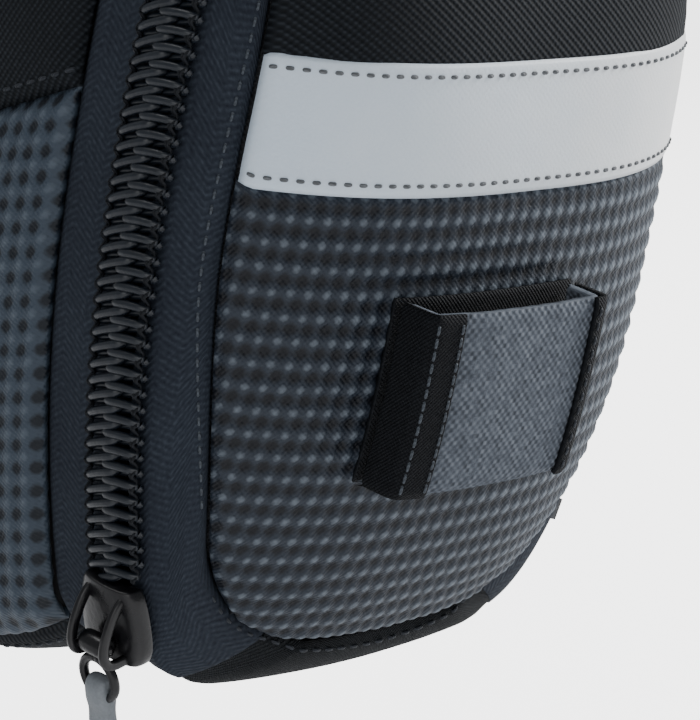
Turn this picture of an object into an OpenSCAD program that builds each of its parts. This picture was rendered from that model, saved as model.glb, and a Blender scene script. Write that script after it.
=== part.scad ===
// Saddle bag: a wedge-shaped bag with a zipped, domed rear flap.
// Frame: +Z up, +Y forward to the seat post, -Y rear, +X right. Origin: centre of the seat-post strap.

/* [Rear face] */
// Half width of the zipper rim (mm)
rear_half_width = 48; // [44:1:54]
// Height of the rim's top above the rim centre (mm)
rear_top = 70; // [62:1:74]
// Depth of the rim's bottom below the rim centre (mm)
rear_bottom = 58.3; // [56:1:62]
// Height of the widest point above the rim centre (mm)
rear_belly = 10; // [6:1:12]
// Radius of the rim's top corners (mm)
rear_top_radius = 13; // [11:1:20]
// Radius of the rim's bottom corners (mm)
rear_bottom_radius = 13; // [9:1:16]
// Lean of the zipper plane (degrees)
rear_lean = 13; // [9:1:15]
// Depth of the domed flap (mm)
dome_depth = 23; // [18:1:26]
// Size of the flap's panel against the rim
seam_ratio = 0.89; // [0.87:0.01:0.9]
// Depth of the panel's lower edge against the rim's
seam_low_ratio = 0.877; // [0.85:0.001:0.89]
// Height of the stripe's lower edge above the rim centre (mm)
stripe_low = 17; // [14:0.5:20]
// Width of the reflective stripe (mm)
stripe_width = 16; // [10:1:20]

/* [Body] */
// Distance from the front panel to the zipper plane (mm)
body_length = 152; // [120:1:170]
// Half width of the front panel (mm)
front_half_width = 27; // [24:1:32]
// Half height of the front panel (mm)
front_half_height = 34; // [30:1:38]
// Lean of the seat post (degrees)
post_lean = 17; // [14:0.5:20]
// Height of the front panel's centre above the strap's centre (mm)
front_rise = 14; // [10:1:20]
// Drop of the rim centre below the front panel's centre (mm)
rear_drop = 10; // [4:1:16]
// sag of the floor behind its middle
floor_sag = 9; // [0:0.5:12]
// Thickness of the outer fabric (mm)
skin = 1.5; // [1.2:0.1:1.8]

/* [Light loop] */
// Width of the loop's webbing (mm)
loop_webbing = 25; // [20:1:30]
// Half length of the loop's raised bridge (mm)
loop_half = 15.7; // [14:0.1:20]
// sideways place of the light loop
loop_centre = -5.5; // [-8:0.5:2]
// Height of the gap under the bridge (mm)
loop_gap = 5.5; // [4:0.5:8]
// Height of the loop's centre against the rim centre (mm)
loop_level = -9.4; // [-13:0.1:-8]

/* [Mounting] */
// Diameter of the seat post (mm)
post_dia = 27.2; // [25.4:0.1:31.6]
// Half distance between the saddle rails (mm)
rail_half_gap = 22; // [20:0.5:24]
// Height of the rails above the top panel (mm)
rail_height = 12; // [11:0.5:18]
// Diameter of a saddle rail (mm)
rail_dia = 7; // [7:0.1:7.4]
// Width of the rail straps (mm)
rail_webbing = 20; // [16:1:25]

/* [Zipper] */
// Pitch of the coil (mm)
coil_pitch = 2.2; // [2:0.1:2.6]
// Half width of the coil chain (mm)
coil_half = 5; // [4.6:0.1:5.2]
// Length of the slider (mm)
slider_length = 11.5; // [11:0.5:12]
// Length of the pull tab (mm)
tab_length = 30; // [20:1:40]

/* [Hidden] */
$fn = 48;
crown = 8;
side_up = 8;
side_low = 17;
collar = 4;
line_front = -0.34;
line_rear = 0.26;
band_end = 7.35;
dome_p = 2.65;
dome_q = 1.3;
dome_m = 3.6;
dome_low_m = 2.65;
front_gap = post_dia / 2 + 5.4;
seam_extra_top = 30;
seam_extra_low = 141;
tape_edge = 15;
seam_gap = 0.968;
slot_half = 1.6;
tape_out = 0.9;
tape_in = 1.7;
coil_out = -1.1;
coil_in = 0.8;
loop_thick = 1.6;
hinge_v = -39;
lug_x = 4.4;
lug_y = -2.5;
ring_length = 7.9;
stripe_high = stripe_low + stripe_width;
hair = 0.03;
// gap between the ends of the tapes and the bottom band, in the section's own parameter
tape_gap = 0.02;
// makes s^3 (1 - s) peak at one
sag_peak = 256 / 27;
rim = [rear_half_width, rear_top, rear_bottom, rear_belly, rear_top_radius, rear_bottom_radius];
seam = [rim[0] * seam_ratio, rim[1] * seam_ratio, rim[2] * seam_low_ratio, rim[3] * seam_ratio,
  seam_ratio * (rim[4] + seam_extra_top * (1 - seam_ratio)),
  seam_ratio * (rim[5] + seam_extra_low * (1 - seam_ratio))];
front = [front_half_width, front_half_height, front_half_height, 0, 12, 10];
front_o = [0, -front_gap * cos(post_lean) - front_rise * sin(post_lean),
  -front_gap * sin(post_lean) + front_rise * cos(post_lean)];
rear_o = [0, front_o[1] - body_length, front_o[2] - rear_drop];
rear_n = [0, -cos(rear_lean), -sin(rear_lean)];
rear_v = [0, -sin(rear_lean), cos(rear_lean)];
low_radius = arcs(rim[0], rim[2] + rim[3], rim[5], side_low)[0];
up_radius = arcs(rim[0], rim[1] - rim[3], rim[4], side_up)[0];
arc_x = -(rim[0] - low_radius);
slider_v = hinge_v - 0.7 - slider_length / 2;
slider_angle = asin((rim[3] - slider_v) / low_radius);

// ---- curves of the rim: arcs at the sides, corners and top, by the angle of the outward normal
function lp(a, b, t) = a + (b - a) * t;
function arcs(w, h, r, b) =
  let (k = 1 - cos(b), m = sin(crown), p = w - r * (cos(b) - m))
  let (s = sin(b), c = 1 - cos(crown), q = h - r * (cos(crown) - s), e = k * c - m * s)
  [(p * c - m * q) / e, (k * q - s * p) / e];
function quarter(w, h, r, b, psi) =
  let (g = arcs(w, h, r, b), k = 90 - crown)
  let (p1 = min(psi, b), p2 = max(b, min(psi, k)), p3 = max(psi, k))
  [w - g[0] * (1 - cos(p1)) - r * (cos(b) - cos(p2)) - g[1] * (cos(k) - cos(p3)),
   g[0] * sin(p1) + r * (sin(p2) - sin(b)) + g[1] * (sin(p3) - sin(k))];
function turn(t, b) =
  let (k = 90 - crown)
  t < 1 ? b * t : t < 2 ? lp(b, k, t - 1) : lp(k, 90, t - 2);
// u runs 0 right, 3 top, 6 left, 9 bottom; d is the depth below the outer face
function ring(f, u, d) =
  let (w = u - 12 * floor(u / 12), up = w < 6)
  let (t = up ? (w < 3 ? w : 6 - w) : (w < 9 ? w - 6 : 12 - w))
  let (sx = w > 3 && w < 9 ? -1 : 1, psi = turn(t, up ? side_up : side_low))
  let (q = up ? quarter(f[0], f[1] - f[3], f[4], side_up, psi)
    : quarter(f[0], f[2] + f[3], f[5], side_low, psi))
  [sx * (q[0] - d * cos(psi)), f[3] + (up ? 1 : -1) * (q[1] - d * sin(psi))];
function arc_at(f, v) =
  let (up = v > f[3], b = up ? side_up : side_low, r = up ? f[4] : f[5], y = abs(v - f[3]))
  let (g = arcs(f[0], up ? f[1] - f[3] : f[2] + f[3], r, b)[0], p = g * sin(b))
  let (t = y < p ? asin(y / g) / b : 1 + (asin((y - p) / r + sin(b)) - b) / (90 - crown - b))
  up ? t : -t;
function wide_at(f, v) = ring(f, arc_at(f, v), 0)[0];

// ---- the body's sections, s = 0 at the front panel and 1 at the zipper's tape
function ease(s, p) = 1 - pow(1 - s, p);
function section(s) = [lp(front[0], rim[0], ease(s, 1.35)), lp(front[1], rim[1], ease(s, 1.15)),
  lp(front[2], rim[2], ease(s, 1.5)) + floor_sag * sag_peak * s * s * s * (1 - s),
  lp(front[3], rim[3], s), lp(front[4], rim[4], s), lp(front[5], rim[5], s)];
function body(u, s, d) =
  let (q = ring(section(s), u, d), a = lp(post_lean, rear_lean, s))
  let (o = lp(front_o, rear_o - tape_edge * rear_n, s))
  [q[0], o[1] - q[1] * sin(a), o[2] + q[1] * cos(a)];

// ---- the flap's dome over the zipper plane
function dome(x, v) =
  let (c = (rim[1] - rim[2]) / 2, h = (rim[1] + rim[2]) / 2, m = v > c ? dome_m : dome_low_m)
  let (r = pow(pow(abs(x) / rim[0], m) + pow(abs(v - c) / h, m), 1 / m))
  collar + (dome_depth - collar) * pow(max(0, 1 - pow(min(r, 1), dome_p)), 1 / dome_q);
function at(x, v, n) = [x, rear_o[1] + v * rear_v[1] + n * rear_n[1],
  rear_o[2] + v * rear_v[2] + n * rear_n[2]];
function shell(q, d) = at(q[0] * (1 - d / 60), q[1] - (q[1] - rim[3]) * d / 60, dome(q[0], q[1]) - d);
// gusset between the rim and the panel's seam; ur and us may differ so that an end is cut level
function gusset(ur, us, t, d) =
  let (a = ring(rim, ur, d), e = ring(seam, us, 0))
  let (m = [e[0] * (1 - d / 60), e[1] - (e[1] - rim[3]) * d / 60])
  let (en = dome(e[0], e[1]) - d * 0.8, k = max(0, (t - 0.2) / 0.8))
  let (c = a + 0.35 * (m - a), cn = collar + 0.75 * (en - collar))
  let (x = (1 - k) * (1 - k), y = 2 * k * (1 - k), z = k * k)
  let (n = t < 0.2 ? lp(slot_half, collar, t / 0.2) : x * collar + y * cn + z * en)
  at(x * a[0] + y * c[0] + z * m[0], x * a[1] + y * c[1] + z * m[1], n);
function coons(b0, b1, t0, t1, l, r, b, tp, a, c) =
  (1 - c) * b + c * tp + (1 - a) * l + a * r
  - (1 - a) * (1 - c) * b0 - a * (1 - c) * b1 - (1 - a) * c * t0 - a * c * t1;
function scaled(q, k) = [q[0] * k, rim[3] + (q[1] - rim[3]) * k];
function top_patch(v, k, a, c) =
  let (u = arc_at(seam, (v - rim[3]) / k + rim[3]), x = scaled(ring(seam, u, 0), k)[0])
  let (r = lp(u, 1.5, c))
  coons([-x, v], [x, v], scaled(ring(seam, 4.5, 0), k), scaled(ring(seam, 1.5, 0), k),
    scaled(ring(seam, 6 - r, 0), k), scaled(ring(seam, r, 0), k), [lp(-x, x, a), v],
    scaled(ring(seam, 4.5 - 3 * a, 0), k), a, c);
function low_patch(v, a, c) =
  let (u = arc_at(seam, v), x = wide_at(seam, v), r = lp(u, -1.5, 1 - c))
  coons(ring(seam, 7.5, 0), ring(seam, 10.5, 0), [-x, v], [x, v], ring(seam, 6 - r, 0),
    ring(seam, r, 0), ring(seam, 7.5 + 3 * a, 0), [lp(-x, x, a), v], a, c);

// ---- a closed sheet from two grids of points, p[0] outside and p[1] inside
module sheet(p, nu, nv) {
  m = nu + 1;
  h = m * (nv + 1);
  outer = [for (j = [0:nv - 1]) for (i = [0:nu - 1]) for (k = [0, 1])
    k == 0 ? [j * m + i, (j + 1) * m + i, (j + 1) * m + i + 1]
      : [j * m + i, (j + 1) * m + i + 1, j * m + i + 1]];
  inner = [for (f = outer) [f[0] + h, f[2] + h, f[1] + h]];
  rim_u = [for (i = [0:nu - 1]) for (j = [0, nv]) for (k = [0, 1])
    let (a = j * m + i, e = j * m + i + 1)
    j == 0 ? (k == 0 ? [a, e, e + h] : [a, e + h, a + h]) : (k == 0 ? [e, a, a + h] : [e, a + h, e + h])];
  rim_v = [for (j = [0:nv - 1]) for (i = [0, nu]) for (k = [0, 1])
    let (a = j * m + i, e = (j + 1) * m + i)
    i == 0 ? (k == 0 ? [e, a, a + h] : [e, a + h, e + h]) : (k == 0 ? [a, e, e + h] : [a, e + h, a + h])];
  polyhedron([for (k = [0, 1]) for (q = p[k]) q], concat(outer, inner, rim_u, rim_v));
}

module body_sheet(ua, ub, sa, sb, da, db, nu, nv)
  sheet([for (d = [da, db]) [for (j = [0:nv]) for (i = [0:nu])
    let (s = lp(sa, sb, j / nv))
    body(lp(lp(ua[0], ua[1], s), lp(ub[0], ub[1], s), i / nu), s, d)]], nu, nv);

module gusset_sheet(ua, ub, va, vb, ta, tb, nu, nv)
  sheet([for (d = [tape_out, tape_in]) [for (j = [0:nv]) for (i = [0:nu])
    gusset(lp(ua, ub, i / nu), lp(va, vb, i / nu), lp(ta, tb, j / nv), d)]], nu, nv);

module rear_frame()
  translate(rear_o) rotate([90 + rear_lean, 0, 0]) children();

module rows_sheet(va, vb, da, db, nu, nv)
  sheet([for (d = [da, db]) [for (j = [0:nv]) for (i = [0:nu])
    let (v = lp(va, vb, j / nv), x = wide_at(seam, v))
    shell([lp(-x, x, i / nu), v], d)]], nu, nv);

// ---- outer fabric of the body
module side_upper_right() color("#1c1d20")
  body_sheet([line_front + 0.004, line_rear + 0.004], [1.596, 1.596], 0, 0.998, 0, skin, 12, 12);

module side_upper_left() color("#1c1d20")
  body_sheet([4.404, 4.404], [5.996 - line_front, 5.996 - line_rear], 0, 0.998, 0, skin, 12, 12);

module side_lower_right() color("#46505a")
  body_sheet([10.404, 10.404], [11.996 + line_front, 11.996 + line_rear], 0, 0.998, 0, skin, 14, 12);

module side_lower_left() color("#46505a")
  body_sheet([6.004 - line_front, 6.004 - line_rear], [7.596, 7.596], 0, 0.998, 0, skin, 14, 12);

module top_panel() color("#1a1b1e")
  body_sheet([1.604, 1.604], [4.396, 4.396], 0, 0.998, 0, skin, 20, 12);

module bottom_panel() color("#151618")
  body_sheet([7.604, 7.604], [10.396, 10.396], 0, 0.998, 0, skin, 20, 12);

module front_panel() color("#17181a")
  translate(front_o) rotate([90 + post_lean, 0, 0]) translate([0, 0, -skin - hair])
  linear_extrude(skin) polygon([for (i = [0:55]) ring(front, i * 12 / 56, 0)]);

module front_pad() color("#0f1011")
  translate(front_o) rotate([90 + post_lean, 0, 0]) translate([0, -front_rise, -skin - 3.1])
  difference() {
    linear_extrude(3) union() {
      square([24, 32], center = true);
      square([20, 36], center = true);
      for (x = [-10, 10]) for (y = [-16, 16]) translate([x, y]) circle(2);
    }
    for (y = [-12:6:12]) translate([-9, y - 0.75, -1]) cube([18, 1.5, 2]);
  }

module body_foam() color("#2b2c2f")
  body_sheet([9.02, 9.02], [20.98, 20.98], 0.01, 0.985, skin + 0.5, skin + 2.2, 44, 10);

module body_lining() color("#3a3b40")
  body_sheet([9.02, 9.02], [20.98, 20.98], 0.02, 0.98, skin + 2.5, skin + 2.9, 44, 10);

module top_board() color("#202124")
  body_sheet([2.05, 2.05], [3.95, 3.95], 0.15, 0.85, skin + 3, skin + 4, 10, 6);

// ---- the fixed rim around the flap
module bottom_band() color("#121315")
  sheet([for (d = [0, skin]) [for (j = [0:11]) for (i = [0:24])
    let (u = lp(band_end + tape_gap, 18 - band_end - tape_gap, i / 24), a = ring(rim, u, d))
    j < 3 ? at(a[0], a[1], lp(-tape_edge + 0.05, slot_half, j / 3))
      : gusset(u, u, (j - 3) / 8 * seam_gap, d)]], 24, 11);

module rear_panel_heel() color("#333c48")
  sheet([for (d = [0, skin]) [for (j = [0:6]) for (i = [0:20])
    shell(low_patch(hinge_v - 0.3, i / 20, j / 6), d)]], 20, 6);

module tape_front() color("#131519")
  sheet([for (d = [tape_out, tape_in]) [for (j = [0:2]) for (i = [0:72])
    let (a = ring(rim, lp(6 + tape_gap - band_end, band_end - tape_gap, i / 72), d))
    at(a[0], a[1], lp(-tape_edge + 0.05, -slot_half, j / 2))]], 72, 2);

module tape_heel_left() color("#131519")
  gusset_sheet(6 - arc_at(rim, hinge_v - 0.3), band_end - tape_gap, 6 - arc_at(seam, hinge_v - 0.3),
    band_end - tape_gap, 0, seam_gap, 6, 8);

module tape_heel_right() color("#131519")
  gusset_sheet(6 + tape_gap - band_end, arc_at(rim, hinge_v - 0.3), 6 + tape_gap - band_end,
    arc_at(seam, hinge_v - 0.3), 0, seam_gap, 6, 8);

module tape_rear() color("#131519")
  gusset_sheet(arc_at(rim, hinge_v + 0.3), 6 - arc_at(rim, hinge_v + 0.3), arc_at(seam, hinge_v + 0.3),
    6 - arc_at(seam, hinge_v + 0.3), 0, seam_gap, 66, 7);

// ---- coil: teeth along the rim, stated by distance from the top's middle (right side positive)
len_top = arcs(rim[0], rim[1] - rim[3], rim[4], side_up)[1] * crown * PI / 180;
len_corner = len_top + rim[4] * (90 - crown - side_up) * PI / 180;
len_side = len_corner + up_radius * side_up * PI / 180;
function angle_at(l) =
  l < len_top ? 90 - l * 90 / len_top * crown / 90
  : l < len_corner ? 90 - crown - (l - len_top) / rim[4] * 180 / PI
  : l < len_side ? side_up - (l - len_corner) / up_radius * 180 / PI
  : -(l - len_side) / low_radius * 180 / PI;
function down_to(v) = len_side + asin((rim[3] - v) / low_radius) * PI / 180 * low_radius;
function rim_at(l, d) =
  let (g = angle_at(abs(l)), sx = l < 0 ? -1 : 1)
  let (q = g >= 0 ? quarter(rim[0], rim[1] - rim[3], rim[4], side_up, g)
    : quarter(rim[0], rim[2] + rim[3], rim[5], side_low, -g))
  [sx * (q[0] - d * cos(g)), rim[3] + (g >= 0 ? 1 : -1) * q[1] - d * sin(g)];

module cord(la, lb, da, db) {
  n = 90;
  polygon(concat([for (i = [0:n]) rim_at(lp(la, lb, i / n), da)],
    [for (i = [n:-1:0]) rim_at(lp(la, lb, i / n), db)]));
}

module coil(la, lb, phase, sgn) {
  n0 = ceil((la + 0.6) / coil_pitch - phase);
  n1 = floor((lb - 0.6) / coil_pitch - phase);
  rear_frame() translate([0, 0, sgn > 0 ? coil_half - 1 : -coil_half]) linear_extrude(1)
    cord(la, lb, coil_out + 0.2, coil_in);
  rear_frame() translate([0, 0, sgn > 0 ? -0.8 : -coil_half + 0.9]) linear_extrude(coil_half - 0.1)
    for (i = [n0:n1]) {
      l = (i + phase) * coil_pitch;
      polygon([rim_at(l - 0.5, coil_out), rim_at(l + 0.5, coil_out), rim_at(l + 0.5, coil_in),
        rim_at(l - 0.5, coil_in)]);
    }
}

module coil_front() color("#0c0d0f")
  coil(-down_to(slider_v - 1.6), down_to(hinge_v), 0, -1);

module coil_rear() color("#0c0d0f")
  coil(-down_to(hinge_v + 0.3), down_to(hinge_v + 0.3), 0.5, 1);

module end_stop() color("#101113")
  rear_frame() translate([0, 0, -coil_half]) linear_extrude(2 * coil_half)
  polygon([for (q = [[0.4, -1.3], [3.6, -1.3], [3.6, 0.75], [0.4, 0.75]])
    rim_at(down_to(hinge_v) + q[0], q[1])]);

// ---- straps
module post_frame()
  rotate([post_lean, 0, 0]) children();

module seatpost_strap() color("#141517") {
  ri = post_dia / 2 + 0.05;
  ro = ri + 1.8;
  foot = front_gap - skin - hair - 0.1;
  post_frame() translate([0, 0, -loop_webbing / 2]) linear_extrude(loop_webbing) {
    difference() {
      circle(ro, $fn = 96);
      circle(ri, $fn = 96);
      translate([-30, -64]) square([60, 60]);
    }
    for (m = [0, 1]) mirror([m, 0]) {
      translate([ri + 0.25, -foot]) square([ro - ri, foot - 1]);
      translate([ri + 1, -foot]) square([9, 1.6]);
    }
  }
}

module seatpost_strap_tail() color("#191a1d") {
  ri = post_dia / 2 + 1.95;
  post_frame() translate([0, 0, -loop_webbing / 2]) linear_extrude(loop_webbing) intersection() {
    difference() {
      circle(ri + 1.6, $fn = 96);
      circle(ri, $fn = 96);
    }
    polygon([[0, 0], [-40, 6], [-40, 40], [40, 40], [40, 14]]);
  }
}

rail_s = 0.4;
rail_mid = body(3, rail_s, 0);
rail_tilt = atan2(body(3, 0.55, 0)[2] - body(3, 0.25, 0)[2], body(3, 0.25, 0)[1] - body(3, 0.55, 0)[1]);

module rail_strap(side) {
  ri = rail_dia / 2 + 0.05;
  ro = ri + 1.6;
  translate(rail_mid) rotate([-rail_tilt, 0, 0]) translate([0, rail_webbing / 2, 0]) rotate([90, 0, 0])
  linear_extrude(rail_webbing) mirror([side, 0]) difference() {
    union() {
      translate([rail_half_gap, rail_height]) circle(ro, $fn = 64);
      translate([rail_half_gap - 1.6, 0.5]) square([3.2, rail_height]);
      translate([rail_half_gap - 14, 0.5]) square([14, 1.6]);
    }
    translate([rail_half_gap, rail_height]) circle(ri, $fn = 64);
  }
}

module rail_strap_left() color("#141517") rail_strap(1);

module rail_strap_right() color("#141517") rail_strap(0);

// ---- inside the bag
module inner_pocket() color("#26272b")
  body_sheet([5.25, 5.25], [7.3, 7.3], 0.4, 0.9, skin + 5.5, skin + 6, 10, 6);

key_at = [33, rear_o[1] + 46, 18];

module key_strap() color("#1b1c1f")
  translate(key_at) {
    translate([-2.8, -4.5, 9.3]) cube([5.6, 9, 1.2]);
    for (x = [-2.8, 1.6]) translate([x, -4.5, 9.3]) cube([1.2, 9, 15.5]);
    translate([-2.8, -4.5, 24.2]) cube([6, 9, 1.2]);
  }

module key_hook() color("#0e0f10")
  translate(key_at) rotate([90, 0, 90]) {
    difference() {
      translate([0, 0, -1.5]) linear_extrude(3) difference() {
        union() {
          circle(8);
          translate([-5.5, 6.5]) square([11, 5.5]);
        }
        circle(5.6);
        translate([-4.7, 9.2]) square([9.4, 1.4]);
        polygon([[0, 0], [20, -12], [20, 16]]);
      }
      translate([5.3, -4.6, -0.85]) cylinder(r = 2.5, h = 1.7);
    }
    translate([5.3, -4.6, -1.5]) cylinder(r = 1.9, h = 0.65);
    translate([5.3, -4.6, 0.85]) cylinder(r = 1.9, h = 0.65);
    translate([5.3, -4.6, -1.4]) cylinder(r = 0.9, h = 2.8);
  }

module key_gate() color("#1a1b1d")
  translate(key_at) rotate([90, 0, 90]) translate([5.3, -4.6, -0.7]) difference() {
    union() {
      cylinder(r = 1.9, h = 1.4);
      rotate([0, 0, 84]) translate([0, -0.8, 0]) cube([7.9, 1.6, 1.4]);
    }
    translate([0, 0, -1]) cylinder(r = 0.95, h = 4);
  }

// ---- the flap
module rear_panel_upper() color("#1d1e21")
  sheet([for (d = [0, skin]) [for (j = [0:10]) for (i = [0:26])
    shell(top_patch(stripe_high + hair, 1, i / 26, j / 10), d)]], 26, 10);

module reflective_stripe() color("#b9bcc0")
  rows_sheet(stripe_low + hair, stripe_high - hair, 0, skin, 26, 4);

module rear_panel_lower() color("#333c48")
  rows_sheet(hinge_v + 0.3, stripe_low - hair, 0, skin, 26, 12);

module flap_board() color("#2b2c2f")
  sheet([for (d = [skin + 0.3, skin + 1.8]) [for (j = [0:8]) for (i = [0:20])
    shell(top_patch(-34, 0.93, i / 20, j / 8), d)]], 20, 8);

module flap_lining() color("#3a3b40")
  sheet([for (d = [skin + 2.1, skin + 2.6]) [for (j = [0:8]) for (i = [0:20])
    shell(top_patch(-33, 0.92, i / 20, j / 8), d)]], 20, 8);

module loop_sheet(outer, inner, height) {
  n = len(inner) - 1;
  sheet([for (p = [outer, inner]) [for (j = [0:4]) for (i = [0:n])
    let (v = loop_level + lp(-height / 2, height / 2, j / 4), x = loop_centre + p[i][0])
    at(x, v, dome(x, v) + p[i][1])]], n, 4);
}

// a profile for the left end of the loop, or the same one turned round for its right end
function turned(p) = [for (i = [len(p) - 1:-1:0]) [-p[i][0], p[i][1]]];

module light_loop() color("#8e9092") {
  a = loop_half;
  h = loop_gap + loop_thick;
  outer = [[4.5 - a, 1], [1.2 - a, 1], [0.3 - a, 1.4], [-a, 2.6], [-a, h - 1.6], [0.4 - a, h - 0.4],
    [1.4 - a, h]];
  inner = [[4.5 - a, 2.4], [2.2 - a, 2.4], [1.6 - a, 2.8], [1.5 - a, 3.2], [1.5 - a, h - 2.6],
    [1.8 - a, h - 1.8], [2.6 - a, h - 1.5]];
  middle = [for (x = [-0.75:0.25:0.75]) x * a];
  loop_sheet(concat(outer, [for (x = middle) [x, h]], turned(outer)),
    concat(inner, [for (x = middle) [x, h - 1.5]], turned(inner)), loop_webbing);
}

module light_loop_base() color("#101113") {
  a = loop_half;
  line = [for (x = [-1:0.2:1]) x * (a + 0.8)];
  loop_sheet([for (x = line) [x, 0.9]], [for (x = line) [x, 0.1]], loop_webbing + 0.6);
}

function edge_inner(w) = let (a = loop_half, h = loop_gap + loop_thick)
  [[-a - 0.05, 1.8], [-a - 0.05, h - 1.6], [0.36 - a, h - 0.34], [1.4 - a, h + 0.05], [w - a, h + 0.05]];
function edge_outer(w) = let (a = loop_half, h = loop_gap + loop_thick)
  [[-a - 0.8, 1.8], [-a - 0.8, h - 1.2], [-a - 0.1, h + 0.4], [1.2 - a, h + 0.8], [w - a, h + 0.8]];

module light_loop_binding() color("#0f1012")
  loop_sheet(edge_outer(4.2), edge_inner(4.2), loop_webbing + 0.6);

module light_loop_edging() color("#0f1012")
  loop_sheet(turned(edge_outer(2)), turned(edge_inner(2)), loop_webbing + 0.6);

// ---- slider and pull, drawn with x outward, y along the chain (up) and z across it
module slider_frame()
  rear_frame() translate([arc_x, rim[3], 0]) rotate([0, 0, slider_angle]) translate([-low_radius, 0, 0])
  mirror([1, 0, 0]) children();

module plate(thick) {
  h = slider_length / 2;
  rotate([0, 90, 0]) linear_extrude(thick)
    polygon([[-4.4, h], [-5.6, h - 1.6], [-6.2, -h + 3], [-5, -h], [5, -h], [6.2, -h + 3],
      [5.6, h - 1.6], [4.4, h]]);
}

module slider() color("#0b0c0d")
  slider_frame() {
    h = slider_length / 2;
    translate([1.4, 0, 0]) plate(1.2);
    translate([-3.4, 0, 0]) scale([1, 0.88, 0.68]) plate(1);
    translate([-2.5, -h + 0.9, -1.2]) cube([4, 2.4, 2.4]);
    for (z = [-6.1, 5.1]) translate([-0.4, -h + 3, z]) cube([1.9, slider_length - 5.2, 1]);
    for (z = [-3.7, 2.7]) translate([2.5, lug_y, z]) linear_extrude(1)
      polygon([[0, -1.4], [1.6, -1.2], [2.9, -0.8], [3.3, 0], [2.9, 0.9], [1.8, 2.6], [0, 6.4]]);
    translate([lug_x, lug_y, -3]) cylinder(r = 0.9, h = 6);
  }

module pull_ring() color("#0d0e0f")
  slider_frame() translate([lug_x, lug_y, 0]) {
    difference() {
      union() {
        translate([0, 0, -2.5]) cylinder(r = 1.7, h = 5);
        rotate([0, 90, 0]) translate([0, 0, -0.8]) linear_extrude(1.6) difference() {
          union() {
            translate([0, -5.6]) circle(3.7);
            translate([-2.4, -3.8]) square([4.8, 3.8]);
          }
          translate([0, -5.6]) circle(2.5);
          translate([-1.9, -10]) square([3.8, 4.4]);
        }
      }
      translate([0, 0, -4]) cylinder(r = 0.95, h = 8);
    }
    translate([0, -ring_length, -2.4]) cylinder(r = 0.8, h = 4.8);
  }

module pull_tab() color("#6d7073")
  slider_frame() translate([lug_x, lug_y - ring_length, 0]) {
    difference() {
      union() {
        translate([0, 0, -1.8]) cylinder(r = 1.9, h = 3.6);
        translate([-1.2, -5, -1.8]) cube([2.4, 4.2, 3.6]);
        translate([-1.2, 3 - tab_length, -2.4]) cube([2.4, tab_length - 7.5, 4.8]);
        for (y = [7:2.4:tab_length - 5]) translate([-1.5, -y - 1, -2]) cube([3, 1, 4]);
        translate([-1.2, 3 - tab_length, 0]) rotate([0, 90, 0]) cylinder(r = 2.4, h = 2.4);
      }
      translate([0, 0, -4]) cylinder(r = 0.85, h = 8);
    }
  }

side_upper_left();
side_upper_right();
side_lower_left();
side_lower_right();
top_panel();
bottom_panel();
front_panel();
front_pad();
body_foam();
body_lining();
top_board();
bottom_band();
rear_panel_heel();
tape_front();
tape_heel_left();
tape_heel_right();
coil_front();
end_stop();
seatpost_strap();
seatpost_strap_tail();
rail_strap_left();
rail_strap_right();
inner_pocket();
key_strap();
key_hook();
key_gate();
rear_panel_upper();
reflective_stripe();
rear_panel_lower();
tape_rear();
coil_rear();
light_loop();
light_loop_base();
light_loop_binding();
light_loop_edging();
flap_board();
flap_lining();
slider();
pull_ring();
pull_tab();
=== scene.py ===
"""Looks of the saddle bag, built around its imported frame.

Lengths are in millimetres and angles in degrees until a mesh is made. x runs to the right, v up along the
zip plane and n out of it to the rear; u runs round a section: 0 right, 3 top, 6 left, 9 bottom.
"""
import math
import bpy
import numpy as np
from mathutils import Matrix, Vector


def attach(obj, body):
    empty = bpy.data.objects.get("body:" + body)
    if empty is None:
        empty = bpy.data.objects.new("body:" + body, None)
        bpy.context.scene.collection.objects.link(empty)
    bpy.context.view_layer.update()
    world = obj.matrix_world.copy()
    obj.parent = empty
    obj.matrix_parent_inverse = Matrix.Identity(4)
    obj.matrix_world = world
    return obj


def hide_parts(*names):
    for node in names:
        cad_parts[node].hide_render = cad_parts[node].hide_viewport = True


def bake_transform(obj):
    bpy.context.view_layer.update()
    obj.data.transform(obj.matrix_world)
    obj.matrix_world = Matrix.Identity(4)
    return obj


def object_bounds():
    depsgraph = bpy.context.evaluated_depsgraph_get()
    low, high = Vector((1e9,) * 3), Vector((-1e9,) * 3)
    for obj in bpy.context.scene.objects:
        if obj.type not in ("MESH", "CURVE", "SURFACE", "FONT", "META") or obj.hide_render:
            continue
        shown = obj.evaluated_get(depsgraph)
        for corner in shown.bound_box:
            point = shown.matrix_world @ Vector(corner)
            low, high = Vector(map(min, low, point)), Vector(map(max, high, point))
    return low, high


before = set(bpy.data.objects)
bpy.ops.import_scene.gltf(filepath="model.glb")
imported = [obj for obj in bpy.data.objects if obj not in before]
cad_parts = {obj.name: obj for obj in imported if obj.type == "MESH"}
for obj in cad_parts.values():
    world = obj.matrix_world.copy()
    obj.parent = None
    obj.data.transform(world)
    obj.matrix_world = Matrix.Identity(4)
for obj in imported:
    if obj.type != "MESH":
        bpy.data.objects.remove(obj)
CAD_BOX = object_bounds()
MM = 0.001

# ---- driving dimensions, the same as the frame's
REAR_LEAN = 13.0
POST_LEAN = 17.0
BODY_LENGTH = 152.0
REAR_DROP = 10.0
FRONT_RISE = 14.0
POST_RADIUS = 13.6
FRONT_GAP = POST_RADIUS + 5.4
SEAM_RATIO = 0.89
SEAM_LOW_RATIO = 0.877
SEAM_EXTRA_TOP, SEAM_EXTRA_LOW = 30.0, 141.0
DOME_DEPTH = 23.0
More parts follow.
